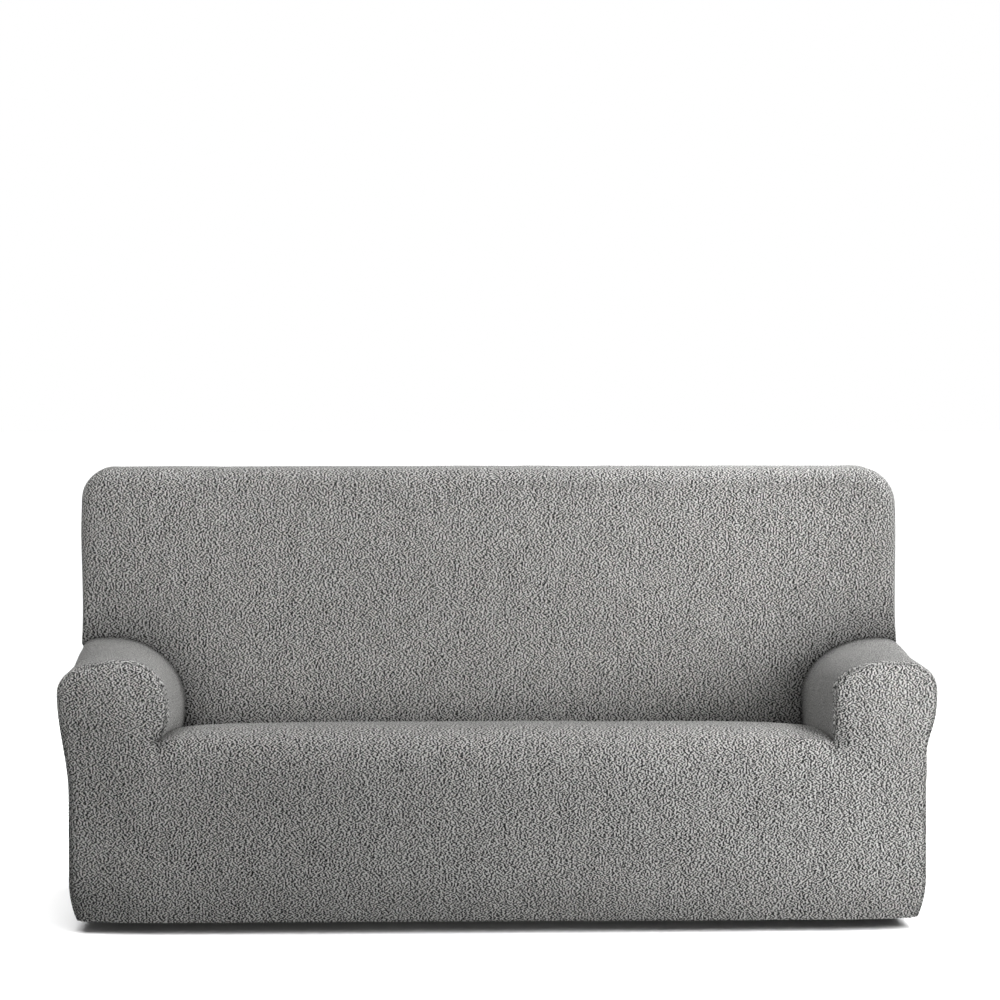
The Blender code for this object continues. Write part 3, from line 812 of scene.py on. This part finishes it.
def build_skin():
    skin = Skin()
    seat = seat_grid()
    strips = {side: strip_grid(side) for side in (-1, 1)}
    below = face_below(seat[-1])
    above = face_above(below[-1])
    rim, walks = rim_grid(above)
    crease_in(below, above)
    seat_flat = front_flat(seat)
    for side, column in ((-1, 0), (1, -1)):
        lobe = lobe_grid(side)
        skin.add("seat_front", lobe, lobe_flat(lobe, seat_flat[:, column, 1]), flip=side > 0)
    skin.add("seat_front", seat, seat_flat)
    for side, panel in ((-1, "arm_left"), (1, "arm_right")):
        arm = arm_grid(side)
        flat = arm_flat(arm)
        skin.add(panel, arm, flat, flip=side < 0)
        skin.add(panel, strips[side], strip_flat(strips[side], flat), flip=side < 0)
    skin.add("back_inside", below, upright_flat(below))
    skin.add("back_inside", above, upright_flat(above))
    skin.add("back_inside", rim, rim_flat(rim, walks), flip=True)
    rear = rear_grid(strips[-1], strips[1], rim)
    skin.add("back_outside", rear, upright_flat(rear), flip=True)
    skin.weld()
    return skin


# ---- Relief of the cloth, and the shade painted into its colour ----------------------

SEAM_SINK = 0.0010  # how far the cloth sinks in along a seam
SEAM_WIDTH = 0.0040
SEAM_REACH = 0.05  # distances to a seam are noted up to this
SLACK = 0.0016  # soft unevenness of the stretched cloth
SLACK_WAVES = (
    # share, waves for each metre of X, Y and Z, and a shift in Y
    (0.45, 26, 18, 5, 0.0),  # long upright ripples
    (0.80, 6, 7, 6, 9.0),  # broad dents
)
TOP_SPREAD = 0.0095  # how far the cloth stands out sideways at the back's top corners
TOP_SPREAD_Z = (0.62, 0.86)
ARM_PINCH = 0.009  # and how far it is drawn in under the roll of the right arm
ARM_PINCH_X = (0.85, 0.93)
ARM_PINCH_Z = (0.405, 0.045)  # middle and reach
TUCKS = (
    # the other panel, how far the painted shade reaches and how deep it is
    ("arm_left", 0.050, 0.58),
    ("arm_right", 0.060, 0.66),
    ("seat_front", 0.038, 0.60),
)
TUCK_Y = 0.70  # the tucks lie before this depth
TUCK_END = 4  # reaches beyond which a tuck's shade isn't worked out
DIMPLE_SHADES = ((-1, 0.55), (1, 0.42))  # shade painted in the pucker at each arm's inner corner
DIMPLE_REACH = 0.014
CORNER_FOLDS = (
    # side, angle from up (outwards is positive), length, width and height of each fold
    # that runs from the pucker at the arm's inner corner
    (-1, 28.0, 0.085, 0.0075, 0.0030),
    (-1, 62.0, 0.060, 0.0070, 0.0026),
    (-1, 118.0, 0.070, 0.0080, -0.0026),
    (-1, 158.0, 0.110, 0.0100, 0.0022),
    (1, 24.0, 0.075, 0.0075, 0.0026),
    (1, 70.0, 0.055, 0.0070, 0.0024),
    (1, 124.0, 0.075, 0.0080, -0.0024),
    (1, 165.0, 0.120, 0.0110, 0.0020),
)
FOLD_AREA = 0.16  # how far from the pucker a fold can lie, across and up
FOLD_WIDTHS = (0.7, 0.9)  # a fold's width at its start, and what it gains to its end
FOLD_SWELL = 0.8  # power of the swell along a fold
FOLD_FRONT = 0.06  # folds lie before this depth
FOLD_SEAM = 0.012  # and grow to their full height this far from a seam


def slack_at(point):
    """Soft unevenness of the stretched knit."""
    total = 0.0
    for share, across, deep, up, shift in SLACK_WAVES:
        place = (point[0] * across, point[1] * deep + shift, point[2] * up)
        total += share * noise.noise(place)
    return SLACK * total


def fold_at(point):
    """The small folds that run out from the puckered corners, on the front only."""
    start_width, gain = FOLD_WIDTHS
    total = 0.0
    for side, angle, length, width, height in CORNER_FOLDS:
        corner_x, _, corner_z = front_seam(side, 1.0)
        across = side * point[0] - corner_x
        up = point[2] - corner_z
        if abs(across) > FOLD_AREA or abs(up) > FOLD_AREA:
            continue
        turn = math.radians(angle)
        along = across * math.sin(turn) + up * math.cos(turn)
        beside = across * math.cos(turn) - up * math.sin(turn)
        if along > 0:
            reach = width * (start_width + gain * along / length)
            swell = math.sin(min(along / length, 1.0) * math.pi) ** FOLD_SWELL
            total += height * swell * math.exp(-((beside / reach) ** 2))
    return total


def set_aside(points):
    """How far the cloth lies sideways: out at the back's top, in under the right arm's roll."""
    x, _, z = points.T
    middle, reach = ARM_PINCH_Z
    wide = TOP_SPREAD * x / BACK_HALF * eased(z, *TOP_SPREAD_Z)
    pinch = -ARM_PINCH * eased(x, *ARM_PINCH_X) * np.exp(-(((z - middle) / reach) ** 2))
    return wide + pinch


def tuck_shade(skin):
    """Painted shade: how much light is left in the tucks, where the back meets the arms and the
    seat.
    """
    shade = np.ones(len(skin.points))
    back = skin.points_of("back_inside")
    for panel, reach, depth in TUCKS:
        other = skin.points_of(panel)
        tree = tree_of(skin.points[back & other & (skin.points[:, 1] < TUCK_Y)])
        for index in np.nonzero(back | other)[0]:
            _, _, distance = tree.find(skin.points[index])
            if distance < TUCK_END * reach:
                shade[index] *= 1 - depth * math.exp(-distance / reach)
    # painted shade in the pucker at each arm's inner corner
    for side, depth in DIMPLE_SHADES:
        corner = np.array(front_seam(side, 1.0)) * (side, 1.0, 1.0)
        distance = np.linalg.norm(skin.points - corner, axis=1)
        shade *= 1 - depth * np.exp(-((distance / DIMPLE_REACH) ** 2))
    return shade


def shape_cloth(skin):
    """Gives the skin its relief, and notes each point's seam distance and its painted shade in the
    tucks.
    """
    tree = tree_of(skin.points[skin.seam_points()])
    front = skin.points_of("seat_front")
    skin.seam_far = np.zeros(len(skin.points))
    moves = np.zeros(len(skin.points))
    for index, point in enumerate(skin.points):
        _, _, distance = tree.find(point)
        skin.seam_far[index] = min(distance, SEAM_REACH)
        moves[index] = slack_at(point) - SEAM_SINK * math.exp(-((distance / SEAM_WIDTH) ** 2))
        if front[index] and point[1] < FOLD_FRONT:
            moves[index] += fold_at(point) * min(distance / FOLD_SEAM, 1.0)
    skin.points = skin.points + skin.normals * moves[:, None]
    skin.points[:, 0] += set_aside(skin.points)
    skin.find_normals()
    # shade painted into the colour where the back meets the arms and the seat, and in the puckers
    skin.tuck = tuck_shade(skin)


# ---- From the skin to sheets of knit -------------------------------------------------

def drawn_in(points, normals, faces, border):
    """A panel's points, with its border drawn in along the cloth by half the seam gap."""
    inwards = np.zeros_like(points)
    middles = points[faces].mean(axis=1)
    for place in range(4):
        np.add.at(inwards, faces[:, place], middles - points[faces[:, place]])
    drawn = np.zeros_like(points)
    drawn[border] = inwards[border]
    drawn -= normals * (drawn * normals).sum(axis=1, keepdims=True)
    lengths = np.linalg.norm(drawn, axis=1, keepdims=True)
    return points + drawn / np.maximum(lengths, 1e-9) * (lengths > 1e-9) * SEAM_GAP / 2


def cloth_mesh(name, points, corners, flats, shades, material):
    """A smooth mesh of four-cornered faces, with its flat places and its shades."""
    mesh = bpy.data.meshes.new(name)
    mesh.vertices.add(len(points))
    mesh.vertices.foreach_set("co", points.ravel())
    mesh.loops.add(len(corners) * 4)
    mesh.loops.foreach_set("vertex_index", corners.ravel().astype(np.int32))
    mesh.polygons.add(len(corners))
    mesh.polygons.foreach_set("loop_start", np.arange(0, len(corners) * 4, 4, dtype=np.int32))
    layer = mesh.uv_layers.new(name="Flat cloth")
    mesh.update(calc_edges=True)
    layer.data.foreach_set("uv", flats.reshape(-1, 2).ravel().astype(np.float32))
    for label, values in shades.items():
        layer = mesh.attributes.new(label, "FLOAT", "POINT")
        layer.data.foreach_set("value", values.astype(np.float32))
    mesh.shade_smooth()
    mesh.set_sharp_from_angle(angle=SMOOTH_TO)
    mesh.materials.append(material)
    return mesh


def panel_sheet(skin, panel, material):
    """One panel as a closed sheet: its outside, its inside and the edge all round."""
    chosen = skin.marks == panel
    flats = skin.flats[chosen]
    used, which = np.unique(skin.faces[chosen], return_inverse=True)
    faces = which.reshape(-1, 4)
    count = len(used)
    # each side of each face as a pair of points: one that a single face has is a border
    pairs = [[place, (place + 1) % 4] for place in range(4)]
    edges = np.concatenate([faces[:, pair] for pair in pairs])
    flat_ends = np.concatenate([flats[:, pair] for pair in pairs])
    _, firsts, seen = np.unique(
        np.sort(edges, axis=1), axis=0, return_index=True, return_counts=True,
    )
    border = firsts[seen == 1]
    normals = skin.normals[used]
    points = drawn_in(skin.points[used], normals, faces, np.unique(edges[border]))
    start, end = edges[border].T
    rims = np.stack([end, start, start + count, end + count], axis=1)
    rim_flats = flat_ends[border][:, [1, 0, 0, 1]]
    corners = np.concatenate([faces, faces[:, ::-1] + count, rims])
    places = np.concatenate([flats, flats[:, ::-1], rim_flats])
    both = np.concatenate([points, points - normals * CLOTH]) - np.array(ORIGIN)
    shades = {
        "seam_far": np.tile(skin.seam_far[used], 2),
        # shade painted into the colour in the tucks and puckers
        "tuck": np.tile(skin.tuck[used], 2),
    }
    name = panel + "_knit"
    sheet = bpy.data.objects.new(name, cloth_mesh(name, both, corners, places, shades, material))
    bpy.context.scene.collection.objects.link(sheet)
    return sheet, flats


# ---- Materials ----------------------------------------------------------------------

PUFF_SIZE = 0.0033  # size of the knit's puffs on the flat cloth
PUFF_REACH = 0.0021  # how far to each side the puffs are compared, for the shade of their slope painted in
PUFF_SPAN = 0.045  # the difference that gives the palest and the darkest tone
PUFF_DETAIL = (0.8, 0.6)  # smaller bumps on the puffs, and how strong they are
PUFF_RELIEF = 0.005  # height of the puffs for the light
FINE_SIZE = 0.0016  # fine grain of the yarn
FINE_SHARE = 0.12
FINE_RANGE = (0.3, 0.7)  # where most of a noise's values lie
WANDER_SIZE = 0.008  # the puffs' rows wander over this distance,
WANDER = 0.004  # by this much
STREAK_SIZE = 0.022  # soft paler and darker streaks
STREAK_LONG = 0.2  # their width for each metre of length
STREAKS = 0.025  # how much tone they add or take
SEAM_LINE = (0.0003, 0.0040)  # distance from a seam at which its line starts and ends
SEAM_TONE = 0.6  # the light left in that line
KNIT_DARK = (0.005, 0.005, 0.0049, 1.0)
KNIT_LIGHT = (0.886, 0.880, 0.860, 1.0)
REAR_LIGHT = (0.815, 0.810, 0.792, 1.0)
REAR_SCALE = 0.96  # the knit is stretched a little further at the rear
KNIT_ROUGHNESS = 0.92
KNIT_SHEEN = 0.15


def add_node(tree, kind, x, y, **settings):
    node = tree.nodes.new(kind)
    node.location = (x, y)
    for name, value in settings.items():
        setattr(node, name, value)
    return node


def math_node(tree, operation, x, y, first, second, clamp=False):
    node = add_node(tree, "ShaderNodeMath", x, y, operation=operation, use_clamp=clamp)
    tree.links.new(first, node.inputs[0])
    tree.links.new(second, node.inputs[1])
    return node.outputs[0]


def remap(tree, value, x, y, low, high, to_low=0.0, to_high=1.0):
    node = add_node(tree, "ShaderNodeMapRange", x, y)
    tree.links.new(value, node.inputs["Value"])
    node.inputs["From Min"].default_value = low
    node.inputs["From Max"].default_value = high
    node.inputs["To Min"].default_value = to_low
    node.inputs["To Max"].default_value = to_high
    return node.outputs["Result"]


def noise_2d(tree, vector, x, y, size, detail=0.0, roughness=0.5):
    """Soft noise with bumps of about this size on the flat cloth."""
    node = add_node(tree, "ShaderNodeTexNoise", x, y, noise_dimensions="2D")
    node.inputs["Scale"].default_value = 1 / size
    node.inputs["Detail"].default_value = detail
    node.inputs["Roughness"].default_value = roughness
    tree.links.new(vector, node.inputs["Vector"])
    return node.outputs


def moved(tree, vector, x, y, operation, amount):
    node = add_node(tree, "ShaderNodeVectorMath", x, y, operation=operation)
    node.inputs[1].default_value = amount
    tree.links.new(vector, node.inputs[0])
    return node.outputs["Vector"]


def crinkle_group():
    """The crinkled knit: small puffs, each with a dark line at its side that is partly painted
    shade.
    """
    tree = bpy.data.node_groups.new("Crinkled knit", "ShaderNodeTree")
    for name, value in (("Scale", 1.0), ("Streaks", STREAKS)):
        socket = tree.interface.new_socket(name=name, in_out="INPUT", socket_type="NodeSocketFloat")
        socket.default_value = value
    for name in ("Tone and painted shade", "Height"):
        tree.interface.new_socket(name=name, in_out="OUTPUT", socket_type="NodeSocketFloat")
    given = add_node(tree, "NodeGroupInput", -1700, 200)
    flat = add_node(tree, "ShaderNodeUVMap", -1700, 0, uv_map="Flat cloth")
    scaled = add_node(tree, "ShaderNodeVectorMath", -1500, 0, operation="SCALE")
    tree.links.new(flat.outputs["UV"], scaled.inputs["Vector"])
    tree.links.new(given.outputs["Scale"], scaled.inputs["Scale"])
    cloth = scaled.outputs["Vector"]
    # the rows of puffs wander a little
    wander = noise_2d(tree, cloth, -1100, -200, WANDER_SIZE, 1.0)["Color"]
    shift = moved(tree, wander, -900, -200, "MULTIPLY", (WANDER, WANDER, 0.0))
    place = add_node(tree, "ShaderNodeVectorMath", -750, 0, operation="ADD")
    tree.links.new(cloth, place.inputs[0])
    tree.links.new(shift, place.inputs[1])
    place = place.outputs["Vector"]
    # painted light and shade: a puff is pale where the cloth rises sideways, and dark where it
    # falls
    sides = []
    for reach, y in ((PUFF_REACH, 200), (-PUFF_REACH, 0)):
        beside = moved(tree, place, -550, y, "ADD", (reach, 0.0, 0.0))
        sides.append(noise_2d(tree, beside, -350, y, PUFF_SIZE, *PUFF_DETAIL)["Fac"])
    slope = math_node(tree, "SUBTRACT", -150, 100, *sides)
    puff_tone_and_painted_shade = remap(tree, slope, 50, 100, -PUFF_SPAN, PUFF_SPAN)
    grain = noise_2d(tree, place, -350, -250, FINE_SIZE)["Fac"]
    knit = add_node(tree, "ShaderNodeMix", 250, 0, data_type="FLOAT")
    knit.inputs["Factor"].default_value = FINE_SHARE
    tree.links.new(puff_tone_and_painted_shade, knit.inputs["A"])
    tree.links.new(remap(tree, grain, 50, -250, *FINE_RANGE), knit.inputs["B"])
    # and long soft streaks lie over both
    long = moved(tree, cloth, -1300, -500, "MULTIPLY", (1.0, STREAK_LONG, 1.0))
    streak = noise_2d(tree, long, -350, -500, STREAK_SIZE, 1.0)["Fac"]
    streak = remap(tree, streak, 50, -500, *FINE_RANGE, -1.0, 1.0)
    streak = math_node(tree, "MULTIPLY", 250, -400, streak, given.outputs["Streaks"])
    tone = math_node(tree, "ADD", 450, 0, knit.outputs["Result"], streak, clamp=True)
    out = add_node(tree, "NodeGroupOutput", 650, 0)
    tree.links.new(tone, out.inputs["Tone and painted shade"])
    tree.links.new(knit.outputs["Result"], out.inputs["Height"])
    return tree


def knit_material(name, group, scale, light):
    """Grey knit: dark lines, pale puffs, shade painted on them and in the tucks, a thin seam line.
    """
    material = bpy.data.materials.new(name)
    material.use_nodes = True
    tree = material.node_tree
    shader = tree.nodes["Principled BSDF"]
    shader.inputs["Roughness"].default_value = KNIT_ROUGHNESS
    shader.inputs["Specular IOR Level"].default_value = KNIT_SHEEN
    knit = add_node(tree, "ShaderNodeGroup", -900, 100, node_tree=group)
    knit.inputs["Scale"].default_value = scale
    knit.inputs["Streaks"].default_value = STREAKS
    # the knit's tone carries painted shade at one side of each puff, as well as the knit's own dark
    # lines
    colour = add_node(tree, "ShaderNodeMix", -500, 200, data_type="RGBA")
    colour.inputs["A"].default_value = KNIT_DARK
    colour.inputs["B"].default_value = light
    tree.links.new(knit.outputs["Tone and painted shade"], colour.inputs["Factor"])
    far = add_node(tree, "ShaderNodeAttribute", -900, -200, attribute_name="seam_far")
    line = remap(tree, far.outputs["Fac"], -700, -200, *SEAM_LINE, SEAM_TONE, 1.0)
    # shade painted into the colour in the tucks and puckers, times the seam's thin line
    tuck = add_node(tree, "ShaderNodeAttribute", -900, -400, attribute_name="tuck")
    seam_line_and_painted_shade = math_node(tree, "MULTIPLY", -450, -300, line, tuck.outputs["Fac"])
    shaded = add_node(tree, "ShaderNodeMix", -250, 200, data_type="RGBA", blend_type="MULTIPLY")
    shaded.inputs["Factor"].default_value = 1.0
    tree.links.new(colour.outputs["Result"], shaded.inputs["A"])
    tree.links.new(seam_line_and_painted_shade, shaded.inputs["B"])
    tree.links.new(shaded.outputs["Result"], shader.inputs["Base Color"])
    relief = add_node(tree, "ShaderNodeBump", -250, -200)
    relief.inputs["Strength"].default_value = 1.0
    relief.inputs["Distance"].default_value = PUFF_RELIEF
    tree.links.new(knit.outputs["Height"], relief.inputs["Height"])
    tree.links.new(relief.outputs["Normal"], shader.inputs["Normal"])
    return material


# ---- The stage ----------------------------------------------------------------------

CAMERA_FAR = 8.0  # from the arms' fronts
CAMERA_HIGH = 1.38  # over the floor
CAMERA_ASIDE = 0.0065
CAMERA_TURN = math.radians(1.6)
CAMERA_PITCH = math.radians(3.083)
CAMERA_SENSOR = 36.0  # mm
PICTURE_PIXELS = 1000  # width of the picture
LENS_PIXELS = 3705  # the lens's length in pixels of the picture
CAMERA_LENS = LENS_PIXELS * CAMERA_SENSOR / PICTURE_PIXELS  # mm
CAMERA_SHIFT_X = -0.001

LIGHT_SCALE = 0.93
LIGHTS = (
    # name, place over the floor and from the arms' fronts, aim, size, power and spread
    ("Low light at the right", (1.7, -1.2, 0.8), (0.4, 0.1, 0.5), 0.6, 16.1, 180),
    ("Low front light", (0.5, -1.6, 0.7), (0.0, 0.1, 0.4), 1.0, 7.6, 180),
    ("Near light at the right", (2.0, -0.8, 1.3), (0.2, 0.5, 0.6), 0.8, 10.1, 180),
    ("High front light", (0.5, -1.5, 3.2), (0.0, 0.3, 0.6), 2.0, 7.5, 180),
    ("High light at the left", (-1.2, -0.2, 2.6), (-0.3, 0.5, 0.5), 1.0, 13.0, 180),
    ("Light on the back's top", (0.0, 0.25, 1.6), (0.0, 0.78, 0.92), 0.5, 0.34, 70),
    ("Light on the back's right", (0.6, 0.25, 1.6), (0.6, 0.78, 0.92), 0.5, 0.60, 70),
    ("Light on the back's left", (-0.7, 0.25, 1.6), (-0.7, 0.78, 0.92), 0.5, 0.36, 70),
    ("Light on the left arm", (-1.1, -0.7, 1.2), (-0.87, 0.0, 0.60), 0.4, 0.28, 45),
    ("Rear light at the right", (2.0, 1.2, 2.2), (0.7, 0.5, 0.6), 0.8, 37.7, 180),
    ("Rear light at the left", (-2.0, 1.2, 2.2), (-0.7, 0.5, 0.6), 0.8, 6.0, 180),
    ("Light behind", (0.8, 4.2, 2.4), (0.0, 0.9, 0.5), 1.5, 90.0, 180),
)
WORLD_LIGHT = 0.165
FLOOR_LIGHT = 4.2
FLOOR_LIGHT_FROM = (0.3, -0.8, 2.0)
FLOOR_LIGHT_ANGLE = math.radians(70)
FLOOR_HALF = 30.0
FLOOR_COLOUR = (0.86, 0.86, 0.86, 1.0)
FLOOR_ROUGHNESS = 0.9
FLOOR_SHEEN = 0.1
WHITE = (1.0, 1.0, 1.0, 1.0)


def placed(point):
    return Vector(point) - Vector(ORIGIN)


def turned_to(start, end):
    return (Vector(end) - Vector(start)).to_track_quat("-Z", "Y").to_euler()


def build_floor():
    """A plain pale floor. It throws no light back up, so the shade below stays soft."""
    size, low = FLOOR_HALF, -ORIGIN[2]
    mesh = bpy.data.meshes.new("Floor")
    corners = [(-size, -size, low), (size, -size, low), (size, size, low), (-size, size, low)]
    mesh.from_pydata(corners, [], [(0, 1, 2, 3)])
    floor = bpy.data.objects.new("Floor", mesh)
    bpy.context.scene.collection.objects.link(floor)
    material = bpy.data.materials.new("Pale floor")
    material.use_nodes = True
    shader = material.node_tree.nodes["Principled BSDF"]
    shader.inputs["Base Color"].default_value = FLOOR_COLOUR
    shader.inputs["Roughness"].default_value = FLOOR_ROUGHNESS
    shader.inputs["Specular IOR Level"].default_value = FLOOR_SHEEN
    mesh.materials.append(material)
    floor.visible_diffuse = False
    return floor


def build_lights(floor):
    """Lamps round the cover, and a soft sun that lights the floor alone."""
    for name, point, aim, width, power, beam in LIGHTS:
        lamp = bpy.data.lights.new(name, "AREA")
        lamp.shape = "DISK"
        lamp.size = width
        lamp.energy = power * LIGHT_SCALE
        lamp.spread = math.radians(beam)
        holder = bpy.data.objects.new(name, lamp)
        holder.location = placed(point)
        holder.rotation_euler = turned_to(point, aim)
        bpy.context.scene.collection.objects.link(holder)
    lamp = bpy.data.lights.new("Floor light", "SUN")
    lamp.energy = FLOOR_LIGHT
    lamp.angle = FLOOR_LIGHT_ANGLE
    holder = bpy.data.objects.new("Floor light", lamp)
    holder.rotation_euler = turned_to(FLOOR_LIGHT_FROM, (0.0, 0.0, 0.0))
    bpy.context.scene.collection.objects.link(holder)
    lit = bpy.data.collections.new("Lit by the floor light")
    lit.objects.link(floor)
    holder.light_linking.receiver_collection = lit


def build_world():
    """White all round: pale to look at, and dimmer as a light."""
    world = bpy.data.worlds.new("Studio")
    world.use_nodes = True
    tree = world.node_tree
    light = tree.nodes["Background"]
    light.inputs["Color"].default_value = WHITE
    light.inputs["Strength"].default_value = WORLD_LIGHT * LIGHT_SCALE
    wall = add_node(tree, "ShaderNodeBackground", 0, -200)
    wall.inputs["Color"].default_value = WHITE
    path = add_node(tree, "ShaderNodeLightPath", 0, 300)
    either = add_node(tree, "ShaderNodeMixShader", 200, 0)
    tree.links.new(path.outputs["Is Camera Ray"], either.inputs["Fac"])
    tree.links.new(light.outputs[0], either.inputs[1])
    tree.links.new(wall.outputs[0], either.inputs[2])
    tree.links.new(either.outputs[0], tree.nodes["World Output"].inputs["Surface"])
    bpy.context.scene.world = world
    bpy.context.scene.view_settings.view_transform = "Standard"


def build_camera():
    """The camera stands before the cover, a little to the left, and looks at its middle."""
    lens = bpy.data.cameras.new("Camera")
    lens.lens = CAMERA_LENS
    lens.sensor_width = CAMERA_SENSOR
    lens.shift_x = CAMERA_SHIFT_X
    lens.clip_end = 100.0
    camera = bpy.data.objects.new("Camera", lens)
    x = -CAMERA_FAR * math.tan(CAMERA_TURN) + CAMERA_ASIDE
    camera.location = placed((x, -CAMERA_FAR, CAMERA_HIGH))
    level, drop = math.cos(CAMERA_PITCH), math.sin(CAMERA_PITCH)
    looking = Vector((math.sin(CAMERA_TURN) * level, math.cos(CAMERA_TURN) * level, -drop))
    camera.rotation_euler = looking.to_track_quat("-Z", "Y").to_euler()
    bpy.context.scene.collection.objects.link(camera)
    bpy.context.scene.camera = camera


# ---- Making the scene ---------------------------------------------------------------


group = crinkle_group()
knit = knit_material("Crinkle knit", group, 1.0, KNIT_LIGHT)
knit_rear = knit_material("Crinkle knit, rear", group, REAR_SCALE, REAR_LIGHT)

skin = build_skin()
shape_cloth(skin)

PANELS = (
    ("seat_front", knit, "crinkle_knit"),
    ("arm_left", knit, "crinkle_knit"),
    ("arm_right", knit, "crinkle_knit"),
    ("back_inside", knit, "crinkle_knit"),
    ("back_outside", knit_rear, "crinkle_knit_rear"),
)

for panel, material, slot in PANELS:
    sheet, flats = panel_sheet(skin, panel, material)
    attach(sheet, "root")
    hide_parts(panel)

build_lights(build_floor())
build_world()
build_camera()
